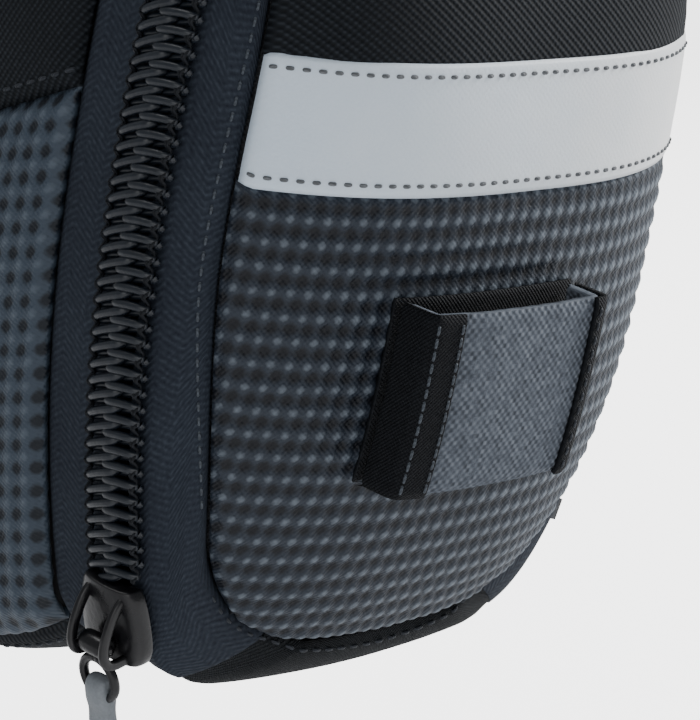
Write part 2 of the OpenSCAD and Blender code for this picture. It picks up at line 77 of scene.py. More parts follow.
# powers of the dome: across its fall, and of its outline above and below the middle
DOME_P, DOME_Q, DOME_M, DOME_LOW_M = 2.65, 1.3, 3.6, 2.65
STRIPE_LOW = 17.0
STRIPE_WIDTH = 16.0
STRIPE_HIGH = STRIPE_LOW + STRIPE_WIDTH
LOOP_WEBBING = 25.0
LOOP_HALF = 15.7
LOOP_CENTRE = -5.5
LOOP_HEIGHT = 7.1
LOOP_LEVEL = -9.4
RAIL_HALF_GAP = 22.0
RAIL_HEIGHT = 12.0
RAIL_RADIUS = 3.5
RAIL_WEBBING = 20.0
COIL_PITCH = 2.2
SLIDER_LENGTH = 11.5
HINGE_V = -39.0
SKIN = 1.5
HAIR = 0.03
TAPE_DEPTH, TAPE_THICK = 0.9, 0.8
TAPE_EDGE = 15.0
SLOT_HALF = 1.6
COLLAR = 4.0
# the gusset: share of it in the collar, how far its ridge rises and reaches in, and its seam's sink
COLLAR_SHARE, RIDGE_RISE, RIDGE_REACH, SEAM_SINK = 0.2, 0.75, 0.35, 0.8
FOLD_LOW, FOLD_HIGH, FOLD_N = 2.5, 3.5, 20
FLOOR_SAG = 9.0
SAG_PEAK = 9.48  # lets s^3 (1 - s) peak at one
# a sheet d below the flap's face is smaller by d / SHRINK
SHRINK = 60.0
LINE_FRONT, LINE_REAR = -0.34, 0.26
TAPE_ROUND = 7.8
CROWN, SIDE_UP, SIDE_LOW = (math.radians(a) for a in (8, 8, 17))

# half width, top, bottom, belly, top radius, bottom radius
RIM = np.array([48.0, 70.0, 58.3, 10.0, 13.0, 13.0])
FRONT = np.array([27.0, 34.0, 34.0, 0.0, 12.0, 10.0])
SEAM = RIM * SEAM_RATIO
SEAM[2] = RIM[2] * SEAM_LOW_RATIO
SEAM[4] += SEAM_RATIO * SEAM_EXTRA_TOP * (1 - SEAM_RATIO)
SEAM[5] += SEAM_RATIO * SEAM_EXTRA_LOW * (1 - SEAM_RATIO)


def turned(angle):
    """Up and outward-to-the-rear directions of a plane that leans back by angle."""
    a = math.radians(angle)
    return np.array([0, -math.sin(a), math.cos(a)]), np.array([0, -math.cos(a), -math.sin(a)])


RIGHT = np.array([1.0, 0, 0])
POST_UP, POST_BACK = turned(POST_LEAN)
REAR_UP, REAR_OUT = turned(REAR_LEAN)
FRONT_O = POST_BACK * FRONT_GAP + POST_UP * FRONT_RISE
REAR_O = FRONT_O + np.array([0, -BODY_LENGTH, -REAR_DROP])
TAPE_O = REAR_O - TAPE_EDGE * REAR_OUT


# ---- curves: arcs at the sides, corners and top, by the angle of the outward normal
def lerp(a, b, t):
    return a + (b - a) * t


def arcs(w, h, r, b):
    """Radii of the side arc and the top arc of a quarter that is w wide and h high."""
    k, m, s, c = 1 - np.cos(b), math.sin(CROWN), np.sin(b), 1 - math.cos(CROWN)
    p = w - r * (np.cos(b) - m)
    q = h - r * (math.cos(CROWN) - s)
    e = k * c - m * s
    return (p * c - m * q) / e, (k * q - s * p) / e


def quarter(w, h, r, b, psi):
    side, top = arcs(w, h, r, b)
    k = math.pi / 2 - CROWN
    p1, p2, p3 = np.minimum(psi, b), np.clip(psi, b, k), np.maximum(psi, k)
    x = w - side * (1 - np.cos(p1)) - r * (np.cos(b) - np.cos(p2)) - top * (math.cos(k) - np.cos(p3))
    y = side * np.sin(p1) + r * (np.sin(p2) - np.sin(b)) + top * (np.sin(p3) - math.sin(k))
    return x, y


def ring(f, u, d=0.0):
    """Point (x, v) of section f at u, d below its outer face."""
    f = np.asarray(f)
    w = np.mod(u, 12.0)
    up = w < 6
    t = np.where(up, np.where(w < 3, w, 6 - w), np.where(w < 9, w - 6, 12 - w))
    b = np.where(up, SIDE_UP, SIDE_LOW)
    k = math.pi / 2 - CROWN
    psi = np.where(t < 1, b * t, np.where(t < 2, lerp(b, k, t - 1), lerp(k, math.pi / 2, t - 2)))
    height = np.where(up, f[..., 1] - f[..., 3], f[..., 2] + f[..., 3])
    x, y = quarter(f[..., 0], height, np.where(up, f[..., 4], f[..., 5]), b, psi)
    side = np.where((w > 3) & (w < 9), -1.0, 1.0)
    return side * (x - d * np.cos(psi)), f[..., 3] + np.where(up, 1, -1) * (y - d * np.sin(psi))


def arc_at(f, v):
    """u on the right side of section f at height v."""
    up = v > f[3]
    b, r, y = SIDE_UP if up else SIDE_LOW, f[4] if up else f[5], abs(v - f[3])
    g = arcs(f[0], f[1] - f[3] if up else f[2] + f[3], r, b)[0]
    p = g * math.sin(b)
    if y < p:
        t = math.asin(y / g) / b
    else:
        t = 1 + (math.asin((y - p) / r + math.sin(b)) - b) / (math.pi / 2 - CROWN - b)
    return t if up else -t


def section(s):
    s = np.asarray(s, float)[..., None]
    power = np.array([1.35, 1.15, 1.5, 1, 1, 1])
    sag = np.array([0, 0, FLOOR_SAG * SAG_PEAK, 0, 0, 0])
    return lerp(FRONT, RIM, 1 - (1 - s) ** power) + sag * s ** 3 * (1 - s)


def body(u, s, d=0.0):
    """Point of the body's skin; s is 0 at the front panel and 1 at the zip tape."""
    s = np.asarray(s, float)
    x, v = ring(section(s), u, d)
    lean = np.radians(lerp(POST_LEAN, REAR_LEAN, s))
    o = lerp(FRONT_O, TAPE_O, s[..., None])
    return np.stack([x, o[..., 1] - v * np.sin(lean), o[..., 2] + v * np.cos(lean)], -1)


def at(x, v, n):
    x, v, n = np.broadcast_arrays(x, v, n)
    return np.stack([x, REAR_O[1] + v * REAR_UP[1] + n * REAR_OUT[1],
                     REAR_O[2] + v * REAR_UP[2] + n * REAR_OUT[2]], -1)


def dome(x, v):
    """Depth of the flap over the zip plane."""
    mid, half = (RIM[1] - RIM[2]) / 2, (RIM[1] + RIM[2]) / 2
    m = np.where(v > mid, DOME_M, DOME_LOW_M)
    r = ((np.abs(x) / RIM[0]) ** m + (np.abs(v - mid) / half) ** m) ** (1 / m)
    return COLLAR + (DOME_DEPTH - COLLAR) * np.clip(1 - np.minimum(r, 1) ** DOME_P, 0, 1) ** (1 / DOME_Q)


def on_dome(x, v, lift=0.0):
    return at(x, v, dome(x, v) + lift)


def gusset(ur, us, t, d):
    """Cloth between the rim (t = 0) and the flap's seam (t = 1)."""
    ax, av = ring(RIM, ur, d)
    ex, ev = ring(SEAM, us)
    mx, mv = ex * (1 - d / SHRINK), ev - (ev - RIM[3]) * d / SHRINK
    en = dome(ex, ev) - d * SEAM_SINK
    k = np.maximum(0, (t - COLLAR_SHARE) / (1 - COLLAR_SHARE))
    wa, wc, we = (1 - k) ** 2, 2 * k * (1 - k), k * k
    cn = lerp(COLLAR, en, RIDGE_RISE)
    ridge = wa * COLLAR + wc * cn + we * en
    n = np.where(t < COLLAR_SHARE, lerp(SLOT_HALF, COLLAR, t / COLLAR_SHARE), ridge)
    return at(wa * ax + wc * lerp(ax, mx, RIDGE_REACH) + we * mx,
              wa * av + wc * lerp(av, mv, RIDGE_REACH) + we * mv, n)


def coons(bottom, top, left, right, a, c):
    """Patch between four curves, each a function of 0 to 1."""
    b, t, l, r = bottom(a), top(a), left(c), right(c)
    a, c = a[..., None], c[..., None]
    corner = {k: f(np.float64(e)) for k, (f, e) in
              {"bl": (bottom, 0), "br": (bottom, 1), "tl": (top, 0), "tr": (top, 1)}.items()}
    return ((1 - c) * b + c * t + (1 - a) * l + a * r - (1 - a) * (1 - c) * corner["bl"]
            - a * (1 - c) * corner["br"] - (1 - a) * c * corner["tl"] - a * c * corner["tr"])


def curve(f, ua, ub, k=1.0):
    def point(t):
        x, v = ring(f, lerp(ua, ub, t))
        return np.stack([x * k, f[3] + (v - f[3]) * k], -1)
    return point


def level(f, v, k=1.0):
    x = ring(f, np.float64(arc_at(f, (v - f[3]) / k + f[3])))[0] * k
    return lambda t: np.stack([lerp(-x, x, t), np.full_like(t, v)], -1)


def top_patch(v, a, c, k=1.0):
    """The flap's face above v, shrunk by k."""
    u = arc_at(SEAM, (v - SEAM[3]) / k + SEAM[3])
    return coons(level(SEAM, v, k), curve(SEAM, 4.5, 1.5, k), curve(SEAM, 6 - u, 4.5, k),
                 curve(SEAM, u, 1.5, k), a, c)


def low_patch(v, a, c):
    """The flap's face below v."""
    u = arc_at(SEAM, v)
    return coons(curve(SEAM, 7.5, 10.5), level(SEAM, v), curve(SEAM, 7.5, 6 - u), curve(SEAM, -1.5, u),
                 a, c)


# ---- meshes
def grid(nu, nv):
    return np.meshgrid(np.linspace(0, 1, nu + 1), np.linspace(0, 1, nv + 1))


def unit(p):
    return p / np.maximum(np.linalg.norm(p, axis=-1, keepdims=True), 1e-9)


def normals(p):
    return unit(np.cross(np.gradient(p, axis=1), np.gradient(p, axis=0)))


def from_edges(p):
    """Distance of each grid point from the left, right, bottom and top edges, along the sheet."""
    du = np.linalg.norm(np.diff(p, axis=1), axis=-1)
    dv = np.linalg.norm(np.diff(p, axis=0), axis=-1)
    left = np.pad(np.cumsum(du, 1), ((0, 0), (1, 0)))
    low = np.pad(np.cumsum(dv, 0), ((1, 0), (0, 0)))
    return {"l": left, "r": left[:, -1:] - left, "b": low, "t": low[-1:] - low}


WAVE_TURN = 6.28


def waves(p, size):
    """Slow, repeatable unevenness between -1 and 1."""
    total = np.zeros(p.shape[:-1])
    for i, (kx, ky, kz) in enumerate([(1, 0.7, 0.4), (-0.6, 1, 0.8), (0.5, -0.9, 1.1), (1.4, 0.3, -1.2)]):
        along = kx * p[..., 0] + ky * p[..., 1] + kz * p[..., 2]
        total += np.sin(along * WAVE_TURN / size * (1 + 0.37 * i) + i)
    return total / 4


def sewn(p, edges="lrbt", roll=1.1, width=1.3, puff=0.0, pucker=0.12, slack=0.25):
    """Pulls a sheet's edges down into their seams, pads it between them and puckers it beside them."""
    n = normals(p)
    away = from_edges(p)
    near = np.minimum.reduce([away[e] for e in edges])
    height = -roll * np.exp(-(near / width) ** 2)
    height += puff * (1 - np.clip(1 - near / 16, 0, 1) ** 2)
    height += pucker * waves(p, 9.0) * np.exp(-near / 5) * (1 - np.exp(-near / 0.8))
    height += slack * waves(p, 55.0) * (1 - np.exp(-near / 10))
    return p + n * height[..., None]


def inside(p):
    """1 on a sheet, falling to 0 at its edges."""
    near = np.minimum.reduce(list(from_edges(p).values()))
    return 1 - np.exp(-(near / 1.6) ** 2)


def added(name, data):
    obj = bpy.data.objects.new(name, data)
    bpy.context.scene.collection.objects.link(obj)
    return obj


def mesh_object(name, verts, faces, uv=None):
    mesh = bpy.data.meshes.new(name)
    mesh.from_pydata((np.asarray(verts) * MM).tolist(), [], faces)
    if uv is not None:
        layer = mesh.uv_layers.new(name="mm")
        index = np.empty(len(mesh.loops), np.int64)
        mesh.loops.foreach_get("vertex_index", index)
        layer.data.foreach_set("uv", np.asarray(uv, np.float32)[index].ravel())
    mesh.polygons.foreach_set("use_smooth", [True] * len(mesh.polygons))
    mesh.validate()
    return added(name, mesh)


def travelled(path):
    """Distance of each point of a path from its start."""
    return np.concatenate([[0], np.cumsum(np.linalg.norm(np.diff(path, axis=0), axis=1))])


def sheet(name, p, thick=SKIN, uv=None, back=True):
    """A cloth sheet with its outer face on the grid p, walls round its edges and, if asked, a back."""
    nv, nu = p.shape[0] - 1, p.shape[1] - 1
    m = nu + 1
    h = m * (nv + 1)
    inner = p - normals(p) * thick
    i, j = np.meshgrid(np.arange(nu), np.arange(nv))
    a = (j * m + i).ravel()
    front = np.stack([a, a + 1, a + m + 1, a + m], -1)
    if uv is None:
        away = from_edges(p)
        flat = np.stack([away["l"] - away["l"][:, -1:] / 2, away["b"]], -1)
    else:
        flat = np.stack(uv(p), -1)
    loop = np.concatenate([np.arange(m), np.arange(1, nv + 1) * m + nu,
                           nv * m + np.arange(nu - 1, -1, -1), np.arange(nv - 1, -1, -1) * m])
    if back:
        faces = [front, front[:, ::-1] + h]
        verts = np.concatenate([p.reshape(-1, 3), inner.reshape(-1, 3)])
        walls = np.stack([loop[:-1], loop[:-1] + h, loop[1:] + h, loop[1:]], -1)
        uvs = np.concatenate([flat.reshape(-1, 2)] * 2)
    else:
        skirt = h + np.arange(len(loop))
        verts = np.concatenate([p.reshape(-1, 3), inner.reshape(-1, 3)[loop]])
        walls = np.stack([loop[:-1], skirt[:-1], skirt[1:], loop[1:]], -1)
        faces = [front]
        uvs = np.concatenate([flat.reshape(-1, 2), flat.reshape(-1, 2)[loop]])
    faces = np.concatenate(faces + [walls]).tolist()
    return mesh_object(name, verts, faces, uvs)


def smooth_path(points, count):
    """Catmull-Rom curve through points (..., k, dims), resampled to count points."""
    p = np.asarray(points, float)
    k = p.shape[-2]
    t = np.linspace(0, k - 1, count)
    i = np.minimum(t.astype(int), k - 2)
    f = (t - i)[:, None]
    get = lambda q: np.take(p, np.clip(i + q, 0, k - 1), axis=-2)
    a, b, c, d = get(-1), get(0), get(1), get(2)
    square, cube = 2 * a - 5 * b + 4 * c - d, 3 * b - a - 3 * c + d
    return 0.5 * (2 * b + (c - a) * f + square * f ** 2 + cube * f ** 3)


def tubes(name, paths, radius, sides, up=(0.3, 0.2, 1.0), flat=1.0, taper=False):
    """One mesh of round threads; paths is (threads, points, 3). flat squashes them along up."""
    p = np.asarray(paths, float)
    count, k = p.shape[:2]
    tangent = unit(np.gradient(p, axis=1))
    up = np.broadcast_to(np.asarray(up, float), p.shape)
    side = unit(np.cross(tangent, up))
    over = np.cross(side, tangent)
    ang = np.arange(sides) * math.tau / sides
    r = np.broadcast_to(np.asarray(radius, float), (k,))
    if taper:
        r = radius * np.sqrt(np.clip(1 - np.linspace(-1, 1, k) ** 4, 0.02, 1))
    ringed = (p[:, :, None] + side[:, :, None] * (r[:, None] * np.cos(ang))[None, :, :, None]
              + over[:, :, None] * (flat * r[:, None] * np.sin(ang))[None, :, :, None])
    verts = ringed.reshape(-1, 3)
    base = (np.arange(count)[:, None, None] * k + np.arange(k - 1)[None, :, None]) * sides
    s = np.arange(sides)[None, None]
    t = (s + 1) % sides
    quads = np.stack([base + s, base + sides + s, base + sides + t, base + t], -1).reshape(-1, 4).tolist()
    starts = np.arange(count) * k * sides
    caps = [list(range(q + sides - 1, q - 1, -1)) for q in starts]
    caps += [list(range(q + (k - 1) * sides, q + k * sides)) for q in starts]
    return mesh_object(name, verts, quads + caps)


def stitches(name, path, over, pitch=2.6, length=1.7, radius=0.3):
    """Thread stitches along a path (points, 3); over is the outward direction at each point."""
    gone = travelled(path)
    starts = np.arange(pitch / 2, gone[-1] - length, pitch)
    steps = np.linspace(0, 1, 7)
    where = starts[:, None] + steps[None] * length
    pts = np.stack([np.interp(where, gone, path[:, i]) for i in range(3)], -1)
    out = unit(np.stack([np.interp(where, gone, over[:, i]) for i in range(3)], -1))
    arch = radius * (0.55 - 1.5 * (2 * steps - 1) ** 4) - 0.05
    return tubes(name, pts + out * arch[None, :, None], radius, 6, up=out, flat=0.8, taper=True)


def piece(obj, body_name, material, slot, *nodes):
    obj.data.materials.append(material)
    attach(obj, body_name)
    if nodes:
        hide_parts(*nodes)
    return obj


# ---- materials
class Field:
    """A value in a node tree; arithmetic on it adds math nodes."""

    def __init__(self, tree, socket):
        self.tree, self.socket = tree, socket

    def math(self, operation, *others):
        node = self.tree.nodes.new("ShaderNodeMath")
        node.operation = operation
        for slot, value in zip(node.inputs, (self,) + others):
            if isinstance(value, Field):
                self.tree.links.new(value.socket, slot)
            else:
                slot.default_value = value
        return Field(self.tree, node.outputs[0])

    def __add__(self, other):
        return self.math("ADD", other)

    def __sub__(self, other):
        return self.math("SUBTRACT", other)

    def __mul__(self, other):
        return self.math("MULTIPLY", other)

    def wave(self, period):
        return (self * (math.tau / period)).math("SINE")


class Finish:
    """A procedural material whose coordinates u and v are millimetres on the sheet."""

    def __init__(self, name, roughness, uv=True, gloss=0.15):
        self.material = bpy.data.materials.new(name)
        self.material.use_nodes = True
        self.tree = self.material.node_tree
        self.bsdf = self.tree.nodes["Principled BSDF"]
        self.bsdf.inputs["Roughness"].default_value = roughness
        self.bsdf.inputs["Specular IOR Level"].default_value = gloss
        coords = self.tree.nodes.new("ShaderNodeTexCoord")
        source = coords.outputs["UV" if uv else "Object"]
        scale = self.tree.nodes.new("ShaderNodeVectorMath")
        scale.operation = "SCALE"
        scale.inputs["Scale"].default_value = 1.0 if uv else 1 / MM
        self.tree.links.new(source, scale.inputs[0])
        self.place = scale.outputs[0]
        split = self.tree.nodes.new("ShaderNodeSeparateXYZ")
        self.tree.links.new(self.place, split.inputs[0])
        self.u, self.v, self.w = (Field(self.tree, split.outputs[i]) for i in range(3))

    def noise(self, size, detail):
        node = self.tree.nodes.new("ShaderNodeTexNoise")
        node.inputs["Scale"].default_value = 1 / size
        node.inputs["Detail"].default_value = detail
        self.tree.links.new(self.place, node.inputs["Vector"])
        return Field(self.tree, node.outputs["Fac"])

    def random(self, cell_u, cell_v):
        """A fixed random number for each cell."""
        join = self.tree.nodes.new("ShaderNodeCombineXYZ")
        for i, (f, size) in enumerate(((self.u, cell_u), (self.v, cell_v))):
            self.tree.links.new((f * (1 / size)).math("FLOOR").socket, join.inputs[i])
        node = self.tree.nodes.new("ShaderNodeTexWhiteNoise")
        node.noise_dimensions = "2D"
        self.tree.links.new(join.outputs[0], node.inputs["Vector"])
        return Field(self.tree, node.outputs["Value"])

    def colours(self, field, stops):
        """Colours the sheet by field, through (place, colour) stops."""
        ramp = self.tree.nodes.new("ShaderNodeValToRGB")
        ramp.color_ramp.elements.remove(ramp.color_ramp.elements[0])
        for k, (place, colour) in enumerate(stops):
            e = ramp.color_ramp.elements[0] if k == 0 else ramp.color_ramp.elements.new(place)
            e.position = place
            e.color = (*colour, 1)
        self.tree.links.new(field.socket, ramp.inputs[0])
        self.tree.links.new(ramp.outputs[0], self.bsdf.inputs["Base Color"])
        return self

    def rough(self, field):
        self.tree.links.new(field.socket, self.bsdf.inputs["Roughness"])
        return self

    def bump(self, field, height):
        node = self.tree.nodes.new("ShaderNodeBump")
        node.inputs["Distance"].default_value = height * MM
        self.tree.links.new(field.socket, node.inputs["Height"])
        self.tree.links.new(node.outputs[0], self.bsdf.inputs["Normal"])
        return self


def plain_weave(f, pitch):
    return f.u.wave(2 * pitch) * f.v.wave(2 * pitch) * 0.5 + 0.5


def upper_cloth():
    """Black cloth with a fine diagonal weave and a slight speckle."""
    f = Finish("upper_cloth", 0.75)
    twill = (f.u * 0.8 + f.v).wave(1.05) * 0.5 + 0.5
    cross = (f.u * 0.9 - f.v).wave(0.9) * 0.5 + 0.5
    weave = twill * 0.65 + cross * 0.35
    tone = weave * 0.55 + f.noise(0.7, 1) * 0.35 + f.noise(24, 2) * 0.25
    f.colours(tone, [(0.2, (0.002, 0.003, 0.004)), (0.62, (0.007, 0.009, 0.012)),
                     (1.0, (0.028, 0.034, 0.042))])
    return f.bump(weave + f.noise(0.6, 1) * 0.4, 0.16).material


# distance between dots across and up the cloth, slant of their columns, share of the rows in the relief
REAR_DOTS = (2.45, 3.2, -0.12, 0.62)
SIDE_DOTS = (3.3, 3.2, 0.38, 0.5)


def lattice(u, v, dots):
    """Height of the dobby weave, 1 on its raised dots and -1 in its pockets."""
    across, rows, slant, share = dots
    y = v / rows
    x = u / across + slant * y
    return (1 - share) * np.cos(math.tau * x) + share * np.cos(math.tau * y)


def dobby_cloth(name, dots, pocket_tone_and_shade, ground, dot_tone_and_highlight, stops, painted_light_slope=0.0):
    """Cloth with raised dots and pockets in its lattice, the dots lighter and the pockets darker: partly
    the weave's own tone, partly painted highlight and painted shade; the last argument paints light that
    grows per mm to the right.
    """
    across, rows, slant, share = dots
    f = Finish(name, 0.52, gloss=0.3)
    y = f.v * (1 / rows)
    x = f.u * (1 / across) + y * slant
    # the knot pattern matches the relief, so colouring by it paints highlight on the raised dots and shade
    # in the pockets, on top of the weave's tone
    knot = ((x + 0.25).wave(1.0) * (1 - share) + (y + 0.25).wave(1.0) * share) * 0.5 + 0.5
    thread = plain_weave(f, 0.42)
    tone = knot * 0.84 + thread * 0.04 + f.noise(0.8, 2) * 0.24 + f.noise(11, 2) * 0.12 - 0.12
    # painted light: the cloth gets brighter per mm to the right, as if lit from that side
    tone = tone + f.u * painted_light_slope
    f.colours(tone, list(zip(stops, (pocket_tone_and_shade, ground, ground, dot_tone_and_highlight))))
    return f.bump(thread * 0.6 + f.noise(0.6, 1), 0.12).material


def tape_cloth():
    """Zip tape: dark herringbone."""
    f = Finish("tape_cloth", 0.8)
    zig = (f.u * (1 / 3.6)).math("PINGPONG", 1.0) * 2.6
    bone = (f.v + zig + f.noise(1.2, 1) * 0.5).wave(1.0) * 0.5 + 0.5
    tone = bone * 0.18 + f.noise(0.7, 1) * 0.52 + f.noise(18, 2) * 0.28
    f.colours(tone, [(0.2, (0.008, 0.010, 0.017)), (0.55, (0.021, 0.027, 0.038)),
                     (0.85, (0.045, 0.056, 0.074))])
    return f.bump(bone * 0.6 + f.noise(0.6, 1) * 0.8, 0.10).material


def webbing_cloth(name, dark, mid, light, pitch):
    """Woven webbing whose floats vary from dark to light."""
    f = Finish(name, 0.72)
    weave = plain_weave(f, pitch)
    tone = weave * 0.36 + f.random(pitch, pitch) * 0.24 + f.noise(0.8, 2) * 0.3 + f.noise(14, 2) * 0.14
    f.colours(tone, [(0.12, dark), (0.5, mid), (0.92, light)])
    return f.bump(weave, 0.28).material


def reflective_cloth():
    """Silver retro-reflective tape, brighter and warmer towards its right end as painted light from that
    side.
    """
    f = Finish("reflective_cloth", 0.42)
    # fine bead speckle plus painted light: a ramp along u that brightens and warms the tape to the right
    bead_tone_and_painted_light = f.noise(0.35, 2) * 0.12 + f.noise(7, 3) * 0.16 + (f.u * 0.0085 + 0.5) * 0.72
    f.colours(bead_tone_and_painted_light, [(0.15, (0.55, 0.66, 0.77)), (0.5, (0.76, 0.82, 0.87)), (0.85, (1.0, 0.985, 0.96))])
    f.rough(f.noise(9, 3) * 0.25 + 0.32)
    return f.bump(f.noise(0.4, 2) + plain_weave(f, 0.5) * 0.3, 0.05).material


def moulded(name, colour, rough, grain, shine=0.0):
    """Plastic or rubber with a fine grain and rubbed high spots."""
    f = Finish(name, rough, uv=False, gloss=0.4)
    light = tuple(min(1, c * 1.5 + 0.002) for c in colour)
    f.colours(f.noise(3, 3) * 0.6 + f.noise(grain, 2) * 0.4, [(0.3, colour), (0.75, light)])
    f.rough(f.noise(2, 2) * 0.2 + (rough - 0.1))
    f.bsdf.inputs["Coat Weight"].default_value = shine
    f.bsdf.inputs["Coat Roughness"].default_value = 0.12
    return f.bump(f.noise(grain, 2), 0.05).material


def thread_finish(name, colour, rough=0.5):
    f = Finish(name, rough, uv=False)
    twist = (f.u + f.v + f.w).wave(0.5) * 0.5 + 0.5
    f.colours(twist * 0.5 + f.noise(4, 2) * 0.5, [(0.2, tuple(c * 0.6 for c in colour)), (0.8, colour)])
    return f.bump(twist, 0.06).material


UPPER = upper_cloth()
# dobby colours: the first is pocket tone with painted shade, the fourth is dot tone with painted highlight;
# 0.0028 is painted light that brightens the rear cloth to the right
LOWER = dobby_cloth("rear_dobby", REAR_DOTS, (0.002, 0.003, 0.006), (0.018, 0.025, 0.037),
                    (0.16, 0.19, 0.225), (0.12, 0.46, 0.62, 1.0), 0.0028)
SIDE = dobby_cloth("side_dobby", SIDE_DOTS, (0.004, 0.007, 0.012), (0.037, 0.053, 0.074),
                   (0.085, 0.108, 0.136), (0.22, 0.46, 0.70, 1.0))
TAPE = tape_cloth()
GREY_WEBBING = webbing_cloth("grey_webbing", (0.022, 0.026, 0.033), (0.085, 0.099, 0.122),
                             (0.20, 0.225, 0.26), 0.62)
BLACK_WEBBING = webbing_cloth("black_webbing", (0.003, 0.003, 0.004), (0.012, 0.012, 0.014),
                              (0.04, 0.042, 0.048), 1.1)
BINDING = webbing_cloth("binding_cloth", (0.002, 0.002, 0.003), (0.005, 0.006, 0.008),
                        (0.016, 0.018, 0.022), 0.3)
BAND = webbing_cloth("band_cloth", (0.003, 0.004, 0.005), (0.008, 0.010, 0.012),
                     (0.018, 0.021, 0.026), 0.28)
LINING = webbing_cloth("lining_cloth", (0.03, 0.031, 0.034), (0.06, 0.062, 0.068),
                       (0.10, 0.104, 0.115), 0.45)
REFLECTIVE = reflective_cloth()
COIL = moulded("coil_nylon", (0.007, 0.010, 0.015), 0.36, 0.5, 0.12)
SEWING = thread_finish("coil_thread", (0.012, 0.014, 0.018), 0.6)
BLACK_THREAD = thread_finish("black_thread", (0.036, 0.041, 0.050))
PALE_THREAD = thread_finish("pale_thread", (0.075, 0.088, 0.105))
GREY_THREAD = thread_finish("grey_thread", (0.16, 0.17, 0.18))
SLIDER_PAINT = moulded("slider_paint", (0.003, 0.003, 0.004), 0.30, 0.8, 0.1)
TAB_RUBBER = moulded("tab_rubber", (0.15, 0.165, 0.18), 0.55, 0.4)
PAD_RUBBER = moulded("pad_rubber", (0.012, 0.012, 0.013), 0.7, 0.6)
HOOK_PLASTIC = moulded("hook_plastic", (0.012, 0.012, 0.014), 0.45, 0.6)
FOAM = moulded("foam", (0.02, 0.02, 0.022), 0.9, 0.5)


# ---- body
def panel(ua, ub, sa, sb, nu, nv):
    a, b = grid(nu, nv)
    s = lerp(sa, sb, b)
    return body(lerp(lerp(ua[0], ua[1], s), lerp(ub[0], ub[1], s), a), s)


def side_uv(p):
    return p[..., 1] - 0.12 * p[..., 2], p[..., 2] + 0.12 * p[..., 1]


def top_uv(p):
    return p[..., 0], p[..., 1]


def seam_stitches(name, p, edge, inset, body_name="bag", thread=BLACK_THREAD, **size):
    """Topstitching inset from one edge of a sheet."""
    away = from_edges(p)[edge]
    n = normals(p)
    if edge in "lr":
        lines, field = p, away
    else:
        lines, field, n = p.transpose(1, 0, 2), away.T, n.transpose(1, 0, 2)
    order = slice(None) if edge in "lb" else slice(None, None, -1)

    def at_inset(rows):
        return np.array([[np.interp(inset, f[order], q[order][:, i]) for i in range(3)]
                         for f, q in zip(field, rows)])
    return piece(stitches(name, at_inset(lines), at_inset(n), **size), body_name, thread, "webbing")


def build_sides():
    for side, mirror in (("right", False), ("left", True)):
        def us(a, b):
            return ([6 - b[0], 6 - b[1]], [6 - a[0], 6 - a[1]]) if mirror else (a, b)
        line = [LINE_FRONT, LINE_REAR]
        upper = sewn(panel(*us(line, [1.6, 1.6]), 0, 1, 60, 90), puff=0.9)
        obj = sheet("side_upper_cloth_" + side, upper, uv=side_uv, back=False)
        piece(obj, "bag", UPPER, "upper_fabric", "side_upper_" + side)
        lower = sewn(panel(*us([-1.6, -1.6], line), 0, 1, 150, 260), puff=0.9)
        uv = side_uv(lower)
        lower = lower + normals(lower) * (0.24 * lattice(*uv, SIDE_DOTS) * inside(lower))[..., None]
        obj = sheet("side_lower_cloth_" + side, lower, uv=side_uv, back=False)
        piece(obj, "bag", SIDE, "lower_fabric", "side_lower_" + side)
        low, high = ("r", "l") if mirror else ("l", "r")
        seam_stitches("side_topstitch_" + side, upper, high, 3.2)
        seam_stitches("side_linestitch_" + side, upper, low, 2.6)


def build_top_and_bottom():
    for name, ua, ub, puff, sides in (("top", 1.6, 4.4, 0.6, ("right", "left")),
                                      ("bottom", 7.6, 10.4, 0.4, ("left", "right"))):
        p = sewn(panel([ua, ua], [ub, ub], 0, 1, 90, 90), puff=puff, slack=0.4)
        obj = sheet(name + "_cloth", p, uv=top_uv, back=False)
        piece(obj, "bag", UPPER, "upper_fabric", name + "_panel")
        for edge, side in zip("lr", sides):
            seam_stitches(f"{name}_stitch_{side}", p, edge, 3.0)


def build_front():
    a, c = grid(50, 60)
    q = coons(curve(FRONT, 10.5, 7.5), curve(FRONT, 1.5, 4.5), curve(FRONT, -1.5, 1.5),
              curve(FRONT, 7.5, 4.5), a, c)
    p = FRONT_O + q[..., :1] * RIGHT + q[..., 1:] * POST_UP - POST_BACK * (SKIN + HAIR)
    p = sewn(p, roll=1.0, width=1.6, puff=0.0, slack=0.0)
    piece(sheet("front_cloth", p, uv=lambda r: (r[..., 0], r[..., 2]), back=False), "bag", UPPER,
          "upper_fabric", "front_panel")


# ---- rim, tapes and the bottom band
def blended(obj, material, slot, *nodes):
    """Cloth across the flap's hinge line; it gets its material and stays where it is made."""
    obj.data.materials.append(material)
    low, high = (tuple(at(0, v, FOLD_N) * MM) for v in (HINGE_V - FOLD_LOW, HINGE_V + FOLD_HIGH))
    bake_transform(obj)
    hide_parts(*nodes)
    return obj


